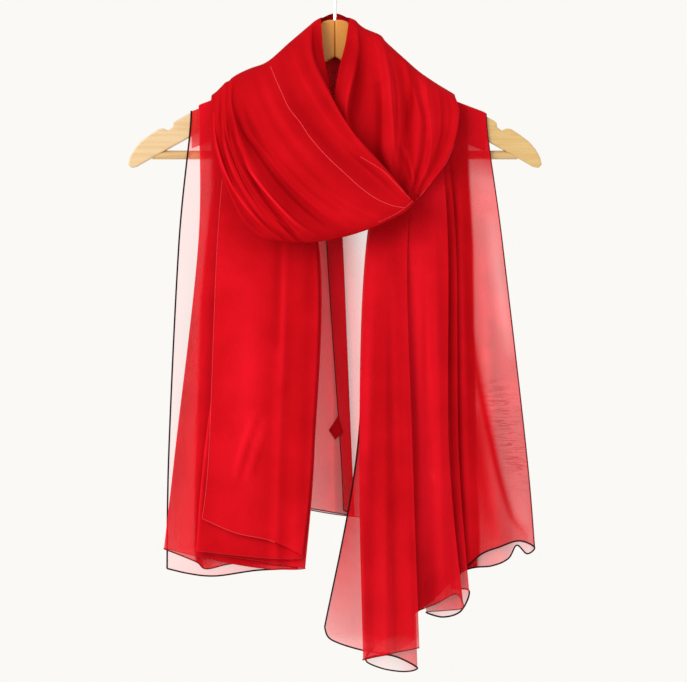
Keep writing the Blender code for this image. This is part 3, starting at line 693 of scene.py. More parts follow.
# Small swags between the big ones: share across, start and end along, width in shares, height in mm.
BACK_CREASES = (
    (0.10, 0.20, 0.70, 0.016, -1.2),
    (0.18, 0.10, 0.75, 0.020, 1.5),
    (0.27, 0.30, 0.88, 0.014, 1.1),
    (0.33, 0.25, 0.95, 0.016, -1.6),
    (0.41, 0.15, 0.55, 0.012, 1.2),
    (0.47, 0.05, 0.60, 0.018, 1.8),
    (0.54, 0.45, 0.95, 0.014, -1.2),
    (0.61, 0.35, 0.92, 0.015, -1.6),
    (0.70, 0.08, 0.50, 0.020, 1.5),
    (0.77, 0.40, 0.80, 0.012, 1.0),
    (0.83, 0.30, 0.88, 0.018, 1.9),
    (0.93, 0.12, 0.66, 0.014, -1.2),
)


def behind_neck(left, right, rows, steps):
    """The swag: half turns from the left shoulder line to the right one, bulging and sagging between."""
    across = np.linspace(0, 1, rows)[:, None]
    turn = np.linspace(0, math.pi, steps + 1)[None, :]
    start = np.array([blend(left, (len(left) - 1) * u) for u in across[:, 0]])
    end = np.array([blend(right, (len(right) - 1) * u) for u in across[:, 0]])
    rise, along = np.sin(turn), (1 - np.cos(turn)) / 2
    depth = BACK_DEPTH[0] + (BACK_DEPTH[1] - BACK_DEPTH[0]) * across ** 0.8
    sag = BACK_SAG[0] + (BACK_SAG[1] - BACK_SAG[0]) * across
    fold = BACK_FOLD_DEPTH * np.sin(2 * math.pi * BACK_FOLDS * across) * np.ones_like(turn)
    for middle, first, last, width, tall in BACK_CREASES:
        t = np.clip((turn / math.pi - first) / (last - first), 0, 1)
        fold = fold + tall * np.sin(math.pi * t) ** 0.7 * np.exp(-(((across - middle) / width) ** 2))
    x = start[:, :1] + (end - start)[:, :1] * along
    drop = start[:, 1:] + (end - start)[:, 1:] * along + sag * rise ** 3
    return np.stack((x, drop, SHOULDER_FRONT - depth * rise ** 0.8 - fold * rise ** 2), -1), fold * rise


# The swag's tone, with painted highlights where its folds stand out and painted shade where they sink.
BACK_TONE = 0.45
left_shoulder = np.array([row[2] for row in FRONT_FOLDS[:-1]], float)
right_shoulder = np.array([row[2] for row in RIGHT_FOLDS[:-1]], float)
back_grid, back_fold = behind_neck(left_shoulder, right_shoulder, rows=160, steps=100)
back_tone = np.clip(BACK_TONE + CREASE_LIGHT * back_fold, 0, 1)
neck_back = lay_sheet("scarf_behind_neck", back_grid, OPAQUE, back_tone)
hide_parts("neck_back")


# ---------------------------------------------------------------------------------------------------------
# The left tail
# The scarf's end, folded on itself so that it hangs in plies over the left arm. Each ply's hem shows as a
# step, and the last one reaches past the others on the left, single and nearly clear.

# Each row is a fold line: its ply from the front, its x at COWL_DROP, at LOW_DROP and at the hem, the hem's
# drop, and how much the ply covers over the arm and at the same three levels.
COWL_DROP = 300.0
LOW_DROP = 526.0
TAIL_LEFT = (
    ("front corner", 0, -126, -135, -142, 599, 0.90, 0.90, 0.90, 0.85),
    ("front a", 0, -97, -102, -107, 614, 0.90, 0.92, 0.90, 0.88),
    ("front b", 0, -60, -64, -68, 623, 0.90, 0.92, 0.90, 0.80),
    ("right edge 1", 0.5, -21, -24, -35, 640, 0.90, 0.90, 0.80, 0.70),
    ("second a", 1, -49, -54, -68, 642, 0.90, 0.90, 0.85, 0.85),
    ("hidden left", 1.5, -111, -140, -149, 634, 0.90, 0.90, 0.90, 0.90),
    ("third a", 2, -72, -76, -79, 645, 0.90, 0.90, 0.90, 0.88),
    ("right edge 2", 2.5, -18, -22, -32, 653, 0.90, 0.85, 0.80, 0.65),
    ("fourth a", 3, -54, -60, -68, 654, 0.90, 0.85, 0.80, 0.70),
    ("fourth b", 3, -92, -103, -111, 648, 0.90, 0.85, 0.85, 0.85),
    ("fourth c", 3, -122, -140, -148, 640, 0.90, 0.85, 0.82, 0.80),
    ("left edge", 3.5, -147, -172, -184, 632, 0.92, 0.74, 0.80, 0.70),
    ("fifth a", 4, -130, -148, -150, 646, 0.85, 0.72, 0.80, 0.80),
    ("lobe", 4, -111, -130, -138, 654, 0.85, 0.80, 0.80, 0.70),
    ("fifth b", 4, -79, -92, -105, 648, 0.85, 0.80, 0.80, 0.60),
    ("right edge 3", 4.5, -25, -29, -40, 653, 0.80, 0.70, 0.70, 0.60),
    ("back a", 5, -65, -76, -86, 656, 0.60, 0.40, 0.35, 0.45),
    ("back b", 5, -108, -122, -130, 662, 0.60, 0.25, 0.22, 0.34),
    ("back c", 5, -142, -154, -159, 659, 0.78, 0.17, 0.16, 0.26),
    ("back corner", 5, -168, -179, -181, 654, 0.78, 0.14, 0.12, 0.22),
)
# Pairs of (x at COWL_DROP, x on the arm), which draw the folds together there.
LEFT_GATHER = ((-180, -163), (-168, -155), (-147, -147), (-126, -113), (-10, -74))
# On the arm and at the three levels: how far the last ply stands off the wood, and the gap between plies.
LEFT_STANDS = ((0.9, 1.0, 1.5, 2.0), (1.95, 3.4, 4.2, 5.0))
# Waves that all plies share: x at COWL_DROP and at the hem, width, height to the front, drop where it starts.
LEFT_WAVES = (
    (-150, -172, 9, -1.2, 240),
    (-136, -152, 8, 1.6, 230),
    (-122, -134, 9, -1.2, 260),
    (-106, -116, 12, 1.4, 260),
    (-86, -96, 12, 1.6, 290),
    (-62, -72, 6, -1.2, 250),
    (-53, -62, 5, 1.2, 250),
    (-44, -54, 6, -2.4, 240),
    (-32, -42, 7, 1.8, 240),
)
# Painted shade and painted highlights along lines: tone change, width in mm, line of (x, drop).
LEFT_SHADES = (
    (-0.15, 20, ((-128, 262), (-90, 290), (-50, 304), (-20, 300))),
    (-0.20, 10, ((-34, 290), (-36, 400), (-38, 520), (-44, 600))),
    (-0.25, 5, ((-60, 290), (-61, 360), (-62, 420))),
    (-0.25, 9, ((-24, 284), (-26, 330), (-28, 384))),
    (0.22, 4, ((-54, 296), (-56, 380), (-57, 460))),
    (0.22, 16, ((-92, 330), (-94, 430), (-98, 560))),
    (0.15, 8, ((-126, 260), (-130, 360), (-136, 470), (-138, 560))),
    (-0.15, 12, ((-140, 628), (-110, 636), (-90, 641))),
    (-0.15, 8, ((-148, 250), (-154, 360), (-162, 480), (-170, 590))),
    (0.25, 2.6, ((-110, 556), (-104, 532), (-96, 508), (-86, 482))),
    (-0.25, 2.4, ((-104, 560), (-97, 536), (-90, 512), (-82, 490))),
    (0.22, 2.4, ((-97, 560), (-90, 536), (-82, 512), (-74, 490))),
    (-0.18, 2.2, ((-90, 562), (-83, 538), (-76, 516))),
)

# The wood's front face, and the room that one ply takes, in mm.
WOOD_FACE = 6.0
WALL = 1.0
# The arm's top edge: pairs of (distance from the middle, drop).
ARM_TOP = (
    (31.3, 84.0), (66.0, 115.0), (75.0, 121.4), (99.0, 137.0),
    (116.0, 146.4), (134.0, 154.4), (160.0, 164.3), (171.5, 170.5),
)
# Over the arm: how high the cloth rides above the wood, how far it comes down behind and how close it lies
# there, the power of the rounded corner, and its points.
WRAP_RISE = 0.7
WRAP_BACK_LENGTH = 38.0
WRAP_BACK_SHARE = 0.92
WRAP_POWER = 3.4
WRAP_STEPS = 12
# Points of a fold line lie closer near the arm by this power, and the plies open over this one below it.
TOP_BIAS = 0.85
OPENING = 8
# A turn from one ply to the next takes this share of the way to the next fold line.
TURN_SPREAD = 0.12
# Lines drawn from each fold line on, as shares of the way to the next. They crowd at the turns.
BETWEEN = (
    0.0, 0.03, 0.06, 0.09, 0.12, 0.18, 0.26, 0.36, 0.46,
    0.56, 0.66, 0.76, 0.84, 0.88, 0.91, 0.94, 0.97,
)
# Where waves reach their x at the hem, in mm below COWL_DROP, and how far below its start a wave is full.
WAVE_REACH = 330
WAVE_GROWTH = 160
# Tone of a plain ply, and how much lighter it is painted, as painted highlight, on a fold edge and for each
# mm that a wave stands out.
PLY_TONE = 0.5
EDGE_LIGHT = 0.4
EDGE_SPREAD = 0.05
WAVE_LIGHT = 0.03
# The least that a ply of chiffon covers.
THINNEST = 0.02


def straight(table, x):
    """Value at x on a table of (x, value) pairs joined by straight lines, which go on past its ends."""
    for (x0, v0), (x1, v1) in zip(table, table[1:]):
        if x <= x1:
            break
    return v0 + (v1 - v0) * (x - x0) / (x1 - x0)


def ply_at(rows, position):
    """The ply at a position counted in rows: whole between the turns, and sliding over at each turn."""
    i = min(int(position + 0.5), len(rows) - 1)
    ply = rows[i][1]
    if ply % 1 == 0:
        return ply
    t = min(max((position - i) / TURN_SPREAD, -1.0), 1.0)
    return ply + 0.5 * math.sin(t * math.pi / 2)


def edge_light(rows, position):
    """A fold edge is painted lighter: a painted highlight where it catches the light."""
    i = min(int(position + 0.5), len(rows) - 1)
    return 0.0 if rows[i][1] % 1 == 0 else EDGE_LIGHT * math.exp(-(((position - i) / EDGE_SPREAD) ** 2))


def stand_at(stands, plies_behind, down):
    """How far a line stands off the wood: the plies open quickly below the top, then slowly to the hem."""
    stand = [nearest + plies_behind * gap for nearest, gap in zip(*stands)]
    if down < 1:
        return stand[0] + (stand[1] - stand[0]) * (1 - (1 - down) ** OPENING)
    i = min(int(down), 2)
    return stand[i] + (stand[i + 1] - stand[i]) * (down - i)


def hang(levels, position):
    """Point on a fold line that leaves its first level straight down, at a position counted in levels."""
    x, drop = blend(levels, position)
    if position < 1:
        x = blend(np.vstack((levels[1], levels)), position + 1)[0]
    return x, drop


def over_arm(x_arm, stand, top):
    """The part of a fold line that lies behind the arm and over its top edge."""
    front = WOOD_FACE + stand
    back = WOOD_FACE + WALL + (stand - WALL) * WRAP_BACK_SHARE
    line = [(x_arm, top + WRAP_BACK_LENGTH * part, -back) for part in (1.0, 0.75, 0.5, 0.25)]
    for k in range(WRAP_STEPS + 1):
        turn = math.pi * k / WRAP_STEPS
        side = -math.copysign(abs(math.cos(turn)) ** (2 / WRAP_POWER), math.cos(turn))
        rise = math.sin(turn) ** (2 / WRAP_POWER)
        line.append((x_arm, top - (WRAP_RISE + stand) * rise, side * (front if side > 0 else back)))
    return line


def wave_at(waves, x, drop):
    """How far the shared waves push a point to the front."""
    push = 0.0
    for x_cowl, x_hem, width, tall, start in waves:
        if drop > start:
            middle = x_cowl + (x_hem - x_cowl) * (drop - COWL_DROP) / WAVE_REACH
            grown = min((drop - start) / WAVE_GROWTH, 1.0)
            push += tall * grown * grown * (3 - 2 * grown) * math.exp(-(((x - middle) / width) ** 2))
    return push


def positions(rows):
    """The positions, counted in rows, of all the lines that a sheet is drawn with."""
    return [i + t for i in range(len(rows) - 1) for t in BETWEEN] + [len(rows) - 1]


def place_of(rows, name):
    """The position of a named row in its table."""
    return [row[0] for row in rows].index(name)


def tail_sheet(rows, gather, stands, waves, shades, steps, fade):
    """Points, covers and tones of a tail that goes over an arm.

    It keeps its cover over the arm down to where the fade starts, counted in levels, and changes to that at
    COWL_DROP where the fade ends.
    """
    places = np.array([row[2:] for row in rows], float)
    lines, covers, tones = [], [], []
    for position in positions(rows):
        x_cowl, x_low, x_hem, hem_drop, *cover_at = blend(places, position)
        cover_at = np.array(cover_at)
        behind = rows[-1][1] - ply_at(rows, position)
        x_arm = straight(gather, x_cowl)
        top = straight(ARM_TOP, abs(x_arm))
        levels = np.array(((x_arm, top), (x_cowl, COWL_DROP), (x_low, LOW_DROP), (x_hem, hem_drop)))
        line = over_arm(x_arm, stand_at(stands, behind, 0), top)
        cover = [cover_at[0]] * len(line)
        tone = [PLY_TONE + edge_light(rows, position)] * len(line)
        for j in range(1, steps + 1):
            down = 3 * (j / steps) ** TOP_BIAS
            x, drop = hang(levels, down)
            push = wave_at(waves, x, drop)
            line.append((x, drop, WOOD_FACE + stand_at(stands, behind, down) + push))
            thinned = down if down < 2 else 2 + (down - 2) ** 2
            cover.append(np.interp(thinned, (*fade, 2, 3), cover_at))
            tone.append(PLY_TONE + WAVE_LIGHT * push + edge_light(rows, position))
        lines.append(line)
        covers.append(cover)
        tones.append(tone)
    grid, tones = np.array(lines), np.array(tones)
    return grid, np.clip(covers, THINNEST, 1.0), np.clip(tones + crease_height(grid, shades), 0.0, 1.0)


def beyond(grid, line, soft):
    """0 on the right of a steep line of (x, drop) and 1 on its left, over a soft step in mm."""
    x_line = np.interp(grid[..., 1], [drop for _, drop in line], [x for x, _ in line])
    step = np.clip((x_line - grid[..., 0]) / soft + 0.5, 0.0, 1.0)
    return step * step * (3 - 2 * step)


LEFT_FADE = (0.27, 0.5)
left_grid, left_cover, left_tone = tail_sheet(
    TAIL_LEFT, LEFT_GATHER, LEFT_STANDS, LEFT_WAVES, LEFT_SHADES, steps=84, fade=LEFT_FADE
)
# The inner plies end on this line of (x, drop). On its right, below the arm, the cloth covers more.
LEFT_DENSE = ((-132, 245), (-139, 310), (-144, 364), (-147, 472), (-150, 560), (-150, 640))
LEFT_DENSE_TOP = 190
LEFT_DENSE_COVER = 0.22
# LEFT_LIGHT paints the whole left tail this much lighter: painted light.
LEFT_LIGHT = 0.1
inner_plies = (np.array(positions(TAIL_LEFT)) < place_of(TAIL_LEFT, "right edge 3") - 0.5)[:, None]
left_dense = inner_plies * (left_grid[..., 1] > LEFT_DENSE_TOP) * (1 - beyond(left_grid, LEFT_DENSE, soft=5))
left_cover = np.clip(left_cover + LEFT_DENSE_COVER * left_dense, THINNEST, 1.0)
left_tone = np.clip(left_tone + LEFT_LIGHT, 0.0, 1.0)
tail_left = lay_sheet("left_tail", left_grid, left_cover, left_tone)
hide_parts("tail_left")

RED_HEM = rolled_hem("hem rolled between plies", "#a00e17", "#c01c26")
DEEP_HEM = rolled_hem("hem rolled over two plies", "#5e060c", "#8c1018")
DARK_HEM = rolled_hem("hem rolled over plies", "#180204", "#320508")


def hem_part(grid, rows, first, last, past=0.0):
    """The hem's points from one named row to another, and a share of the way past it."""
    start, end = place_of(rows, first), place_of(rows, last) + past
    return [grid[k, -1] for k, position in enumerate(positions(rows)) if start <= position <= end]


left_front_line = hem_part(left_grid, TAIL_LEFT, "front corner", "front b", past=0.1)
left_inner_line = hem_part(left_grid, TAIL_LEFT, "right edge 1", "fourth a")
left_fourth_line = hem_part(left_grid, TAIL_LEFT, "fourth a", "left edge")
left_fifth_line = hem_part(left_grid, TAIL_LEFT, "left edge", "right edge 3")
left_back_line = hem_part(left_grid, TAIL_LEFT, "right edge 3", "back corner")
left_front_hem = roll_hem("left_tail_front_hem", left_front_line, LIGHT_HEM, radius=0.45)
left_inner_plies_hem = roll_hem("left_tail_inner_plies_hem", left_inner_line, RED_HEM, radius=0.4)
left_fourth_hem = roll_hem("left_tail_fourth_hem", left_fourth_line, RED_HEM, radius=0.4)
left_fifth_hem = roll_hem("left_tail_fifth_hem", left_fifth_line, DEEP_HEM, radius=0.7)
left_hem = roll_hem("left_tail_hem", left_back_line, DARK_HEM)
# The scarf's long edges are hemmed from these points of their lines on: in front of the arm's top edge, and
# below it, where the last ply comes out from under the ring.
LEFT_OUTER_START, LEFT_INNER_START = 10, 30
left_outer_hem = roll_hem("left_tail_outer_hem", left_grid[-1, LEFT_OUTER_START:], DARK_HEM)
left_inner_hem = roll_hem("left_tail_inner_hem", left_grid[0, LEFT_INNER_START:], LIGHT_HEM, radius=0.4)


# ---------------------------------------------------------------------------------------------------------
# The long tail in the middle
# It drops from the crossing in narrow plies, forward of the rest, and flares at the hem into a clear corner
# on the left.

# The columns are those of the left tail, here and for the right tail.
TAIL_MIDDLE = (
    ("front right", 0, 78, 83, 90, 735, 0.90, 0.90, 0.90, 0.85),
    ("front mid", 0, 54, 53, 62, 741, 0.90, 0.90, 0.90, 0.85),
    ("left turn 1", 0.5, 34, 26, 30, 748, 0.90, 0.85, 0.85, 0.80),
    ("second mid", 1, 53, 54, 57, 743, 0.90, 0.85, 0.80, 0.80),
    ("right turn 1", 1.5, 72, 81, 88, 757, 0.90, 0.80, 0.80, 0.60),
    ("third mid", 2, 53, 55, 66, 761, 0.90, 0.80, 0.75, 0.14),
    ("left turn 2", 2.5, 36, 29, 33, 749, 0.90, 0.80, 0.75, 0.30),
    ("fourth mid", 3, 55, 57, 59, 725, 0.90, 0.80, 0.75, 0.70),
    ("right turn 2", 3.5, 72, 80, 85, 728, 0.90, 0.80, 0.80, 0.70),
    ("back a", 4, 55, 57, 59, 742, 0.90, 0.80, 0.75, 0.55),
    ("back b", 4, 42, 34, 28, 739, 0.90, 0.80, 0.85, 0.62),
    ("corner hem", 4, 38, 26, -4, 728, 0.90, 0.80, 0.94, 0.55),
    ("back corner", 4, 37, 24, -11, 715, 0.90, 0.80, 0.95, 0.55),
)
MIDDLE_GATHER = ((30, 69), (78, 97))
MIDDLE_STANDS = ((0.9, 6.0, 22.0, 33.0), (1.8, 3.4, 4.2, 5.0))
MIDDLE_WAVES = (
    (38, 32, 5, 1.4, 340),
    (46, 42, 4.5, -1.8, 310),
    (54, 54, 5, 2.4, 290),
    (62, 66, 4.5, -2.4, 300),
    (70, 79, 5, 2.0, 360),
)
# Painted shade and painted highlights along lines, in the columns of LEFT_SHADES.
MIDDLE_SHADES = (
    (-0.30, 16, ((30, 285), (52, 290), (80, 262))),
    (-0.12, 30, ((48, 330), (50, 480), (56, 640))),
    (-0.15, 7, ((64, 280), (67, 400), (71, 520), (80, 640), (82, 720))),
    (0.25, 7, ((40, 310), (36, 420), (34, 540))),
    (-0.15, 6, ((52, 340), (52, 440), (54, 560), (60, 680))),
    (0.25, 5, ((60, 330), (63, 440), (67, 560))),
    (-0.20, 5, ((31, 560), (32, 640), (34, 720))),
)
RIGHT_FADE = (0.36, 0.62)
middle_grid, middle_cover, middle_tone = tail_sheet(
    TAIL_MIDDLE, MIDDLE_GATHER, MIDDLE_STANDS, MIDDLE_WAVES, MIDDLE_SHADES, steps=96, fade=RIGHT_FADE
)
# The inner plies end at this drop, above the front hem, and below it the cloth covers less.
INNER_END, INNER_END_SOFT = 722, 8
INNER_COVER = 0.12
past_inner = np.clip((middle_grid[..., 1] - INNER_END) / INNER_END_SOFT, 0.0, 1.0)
middle_cover *= 1 - INNER_COVER * past_inner
tail_middle = lay_sheet("middle_tail", middle_grid, middle_cover, middle_tone)
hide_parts("tail_right_front")
middle_front_line = hem_part(middle_grid, TAIL_MIDDLE, "front right", "left turn 1")
middle_line = hem_part(middle_grid, TAIL_MIDDLE, "left turn 1", "left turn 2", past=0.5)
middle_back_line = hem_part(middle_grid, TAIL_MIDDLE, "back a", "back corner")
middle_front_hem = roll_hem("middle_tail_front_hem", middle_front_line, DEEP_HEM, radius=0.6)
middle_hem = roll_hem("middle_tail_hem", middle_line, DARK_HEM)
middle_back_hem = roll_hem("middle_tail_back_hem", middle_back_line, DARK_HEM)
# Only the low end of the clear corner's side edge shows a hem.
CORNER_START = 60
middle_corner_hem = roll_hem("middle_tail_left_hem", middle_grid[-1, CORNER_START:], DARK_HEM)


# ---------------------------------------------------------------------------------------------------------
# The right tail
# It hangs over the right arm: narrow plies near the middle, and a wide clear panel outside them whose edge
# is turned under once.

TAIL_SIDE = (
    ("front left", 0, 74, 78, 80, 701, 0.90, 0.90, 0.90, 0.85),
    ("front a", 0, 97, 100, 107, 691, 0.90, 0.92, 0.92, 0.85),
    ("front b", 0, 114, 116, 130, 680, 0.90, 0.90, 0.90, 0.82),
    ("right turn 1", 0.5, 121, 122, 137, 695, 0.90, 0.90, 0.90, 0.75),
    ("second a", 1, 103, 105, 115, 698, 0.90, 0.90, 0.85, 0.70),
    ("left turn 1", 1.5, 82, 84, 98, 700, 0.90, 0.90, 0.85, 0.45),
    ("third a", 2, 105, 109, 116, 705, 0.90, 0.90, 0.85, 0.25),
    ("third b", 2, 120, 123, 135, 699, 0.90, 0.90, 0.85, 0.30),
    ("right turn 2", 2.5, 130, 133, 144, 677, 0.90, 0.90, 0.90, 0.65),
    ("hidden turn", 3.5, 116, 119, 125, 672, 0.90, 0.90, 0.90, 0.85),
    ("sheer a", 4, 141, 146, 154, 641, 0.90, 0.70, 0.80, 0.75),
    ("sheer b", 4, 157, 167, 178, 630, 0.85, 0.55, 0.68, 0.72),
    ("sheer c", 4, 170, 187, 199, 624, 0.92, 0.52, 0.62, 0.66),
    ("outer edge", 4.5, 180, 206, 215, 631, 0.92, 0.50, 0.60, 0.62),
    ("under curl", 5, 175, 200, 207, 638, 0.85, 0.52, 0.55, 0.20),
    ("under a", 5, 168, 189, 196, 629, 0.80, 0.52, 0.58, 0.30),
    ("under b", 5, 160, 179, 187, 643, 0.80, 0.55, 0.60, 0.45),
    ("under c", 5, 150, 165, 169, 651, 0.80, 0.55, 0.62, 0.50),
    ("under end", 5, 126, 133, 138, 657, 0.90, 0.70, 0.75, 0.55),
    ("under far", 5, 98, 100, 104, 690, 0.90, 0.90, 0.90, 0.85),
    ("under left", 5, 70, 68, 72, 712, 0.90, 1.00, 1.00, 0.90),
)
SIDE_GATHER = ((80, 100), (121, 111), (133, 119), (141, 127), (180, 163), (190, 168))
SIDE_STANDS = ((0.9, 1.0, 1.5, 2.0), (1.7, 3.2, 3.9, 4.6))
SIDE_WAVES = (
    (90, 90, 4.5, 1.8, 300),
    (98, 102, 4.5, -1.8, 260),
    (107, 114, 5, 2.2, 240),
    (117, 128, 4.5, -1.6, 260),
    (130, 144, 6, 1.6, 240),
    (143, 156, 7, -2.0, 220),
    (156, 176, 7, 2.4, 260),
    (167, 194, 7, -2.0, 300),
)
# Painted shade and painted highlights along lines; the light ones offset the middle tail's shadow.
SIDE_SHADES = (
    (0.28, 11, ((86, 300), (90, 420), (95, 540), (100, 670))),
    (0.25, 12, ((92, 262), (106, 248), (124, 228))),
    (0.30, 6, ((78, 300), (82, 400), (88, 520), (92, 640))),
    (0.30, 8, ((94, 300), (97, 400), (101, 520), (110, 660))),
    (-0.35, 5, ((127, 220), (127, 360), (130, 500), (139, 660))),
    (0.20, 3, ((133, 250), (136, 360), (139, 470))),
    (-0.25, 6, ((141, 200), (143, 300), (146, 420), (148, 560))),
)
# Pleats in the clear panel: gain in cover, width in mm, line of (x, drop).
SIDE_PLEATS = (
    (0.22, 4, ((149, 400), (156, 452), (165, 498), (175, 544), (185, 580), (193, 600), (210, 615))),
    (0.10, 8, ((152, 480), (160, 560), (172, 625))),
    (-0.12, 8, ((168, 270), (178, 350), (190, 430))),
)
# Lines of (x, drop) that part the clear panel: the cloth is dense on the left of the first, where the inner
# plies end, and covers a little more on the left of the second, the edge of a soft fold.
SIDE_DENSE = ((141, 180), (144, 232), (148, 306), (149, 425), (150, 530), (154, 620))
SIDE_FOLD = ((148, 400), (156, 453), (165, 498), (175, 544), (185, 579), (193, 601), (208, 617))
SIDE_FOLD_TOP = 400
# DENSE_LIGHT is how much lighter the dense part is painted: painted light.
DENSE_COVER, DENSE_LIGHT, FOLD_COVER = 0.5, 0.1, 0.12
side_grid, side_cover, side_tone = tail_sheet(
    TAIL_SIDE, SIDE_GATHER, SIDE_STANDS, SIDE_WAVES, SIDE_SHADES, steps=84, fade=RIGHT_FADE
)
sheer_plies = (np.array(positions(TAIL_SIDE)) > place_of(TAIL_SIDE, "hidden turn"))[:, None]
side_dense = sheer_plies * beyond(side_grid, SIDE_DENSE, soft=6)
side_fold = sheer_plies * beyond(side_grid, SIDE_FOLD, soft=5) * (side_grid[..., 1] > SIDE_FOLD_TOP)
side_cover += crease_height(side_grid, SIDE_PLEATS)
side_cover = np.clip(side_cover + DENSE_COVER * side_dense + FOLD_COVER * side_fold, THINNEST, 1.0)
side_tone = np.clip(side_tone + DENSE_LIGHT * side_dense, 0.0, 1.0)
# Everything left of this x, where the plies lie close, stays a full red: no painted light makes it lighter
# than this tone.
RED_END, RED_TONE = 126, 0.8
side_tone = np.minimum(side_tone, np.where(side_grid[..., 0] < RED_END, RED_TONE, 1.0))
# The panel is crimped for this width in mm on each side of a line of (x, drop).
CRIMPED = ((166, 440), (176, 470), (186, 505), (196, 545), (200, 575))
CRIMPED_WIDTH = 13
away, share = from_line(side_grid, CRIMPED)
side_crinkle = np.sin(np.pi * share) ** 0.6 * np.exp(-((away / CRIMPED_WIDTH) ** 2))
tail_side = lay_sheet("right_tail", side_grid, side_cover, side_tone, side_crinkle)
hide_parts("tail_right_side")


def fold_line(grid, rows, name, start):
    """The points of a named fold line from a start on, counted from the end behind the arm."""
    return grid[positions(rows).index(place_of(rows, name)), start:]


side_line = hem_part(side_grid, TAIL_SIDE, "left turn 1", "under end", past=0.5)
side_front_line = hem_part(side_grid, TAIL_SIDE, "front left", "left turn 1")
side_hem = roll_hem("right_tail_hem", side_line, DARK_HEM)
side_front_hem = roll_hem("right_tail_middle_hem", side_front_line, DEEP_HEM, radius=0.5)
# A light cord that paints a highlight along the first right turn, just in front and to the left of it.
ON_TURN = np.array((-0.6, 0.0, 0.9))
side_turn_line = fold_line(side_grid, TAIL_SIDE, "right turn 1", start=8) + ON_TURN
side_turn_highlight = roll_hem("right_tail_turn_highlight", side_turn_line, LIGHT_HEM, radius=0.4)
side_outer_line = fold_line(side_grid, TAIL_SIDE, "outer edge", start=12)
side_outer_hem = roll_hem("right_tail_outer_hem", side_outer_line, DARK_HEM, radius=0.7)


# ---------------------------------------------------------------------------------------------------------
# The end behind
# The scarf's other end, pulled through behind the hanger. It is nearly clear, and its hemmed edge hangs in
# two plies down the middle.

# The columns are those of the left tail, with one more before them: the x at BACK_TOP_DROP. The first cover
# counts there.
BACK_TOP_DROP = 104.0
TAIL_BACK = (
    ("back right", 0, 50, 130, 144, 150, 610, 0.40, 0.40, 0.50, 0.50),
    ("back a", 0, 43, 105, 113, 118, 608, 0.40, 0.40, 0.50, 0.50),
    ("back b", 0, 35, 79, 83, 85, 605, 0.40, 0.36, 0.55, 0.55),
    ("back c", 0, 26, 55, 55, 55, 602, 0.35, 0.26, 0.55, 0.60),
    ("back d", 0, 16, 31, 29, 29, 600, 0.35, 0.28, 0.55, 0.60),
    ("back e", 0, 4, 5, 1, 1, 597, 0.60, 0.75, 0.60, 0.60),
    ("back f", 0, -12, -25, -29, -29, 592, 0.80, 0.85, 0.62, 0.55),
    ("left turn", 0.5, -26, -42, -46, -49, 589, 0.80, 0.80, 0.60, 0.50),
    ("front a", 1, -18, -21, -23, -23, 591, 0.80, 0.75, 0.60, 0.50),
    ("right turn", 1.5, -4, 8, 17, 20, 598, 0.90, 0.92, 0.88, 0.80),
    ("strip edge", 2, -14, -9, 6, 9, 592, 0.90, 0.92, 0.88, 0.80),
)
BACK_STANDS = ((0.9, 1.5, 4.0, 5.0), (2.6, 2.8, 3.4, 4.0))
BACK_WAVES = (
    (38, 32, 8, 1.2, 240),
    (70, 76, 10, -1.4, 220),
    (100, 112, 10, 1.6, 240),
    (-20, -24, 6, 1.0, 260),
)
# Tone of the clear plies, painted light for the light that comes through them, and how much darker the strip
# down the middle is painted towards its hem.
BEHIND_TONE = 0.95
STRIP_DARK = 0.7


def behind_sheet(steps):
    """Points, covers and tones of the end behind, from the neck down to its hem."""
    places = np.array([row[2:] for row in TAIL_BACK], float)
    strip = place_of(TAIL_BACK, "right turn") - 0.5
    lines, covers, tones = [], [], []
    for position in positions(TAIL_BACK):
        x_top, x_cowl, x_low, x_hem, hem_drop, *cover_at = blend(places, position)
        behind = TAIL_BACK[-1][1] - ply_at(TAIL_BACK, position)
        levels = np.array(((x_top, BACK_TOP_DROP), (x_cowl, COWL_DROP), (x_low, LOW_DROP), (x_hem, hem_drop)))
        line = []
        for down in np.linspace(0, 3, steps + 1):
            x, drop = hang(levels, down)
            back = WOOD_FACE + stand_at(BACK_STANDS, behind, down) + wave_at(BACK_WAVES, x, drop)
            line.append((x, drop, -back))
        lines.append(line)
        covers.append(np.interp(np.linspace(0, 3, steps + 1), range(4), cover_at))
        darker = STRIP_DARK if position > strip else 0.0
        tones.append(BEHIND_TONE + edge_light(TAIL_BACK, position) - darker * np.linspace(0, 1, steps + 1))
    return np.array(lines), np.clip(covers, THINNEST, 1.0), np.clip(tones, 0.0, 1.0)


behind_grid, behind_cover, behind_tone = behind_sheet(steps=72)
tail_back = lay_sheet("end_behind", behind_grid, behind_cover, behind_tone)
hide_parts("tail_back")
behind_hem = roll_hem("end_behind_hem", behind_grid[:, -1], DARK_HEM, radius=0.55)
strip_edge_line = fold_line(behind_grid, TAIL_BACK, "strip edge", start=8)
strip_fold_line = fold_line(behind_grid, TAIL_BACK, "right turn", start=8)
strip_hem = roll_hem("end_behind_edge_hem", strip_edge_line, DARK_HEM, radius=0.45)
strip_fold_hem = roll_hem("end_behind_fold_hem", strip_fold_line, DARK_HEM, radius=0.45)


# ---------------------------------------------------------------------------------------------------------
# The tab on the end behind
# A doubled scrap of the same chiffon, turned on its corner and sewn flat to the hem. It is blank.

# Its top, right, left and low corner as (x, drop), its seam's place to the front, and its fullness.
TAB_CORNERS = ((3.2, 489.7), (8.6, 508.0), (-6.8, 505.3), (0.0, 515.6))
TAB_FRONT = -7.6
TAB_FULL = 0.5
# Its tone at the seams, and how much lighter it is painted in the middle: a painted highlight on its fullness.
TAB_TONE, TAB_LIGHT = 0.12, 0.15


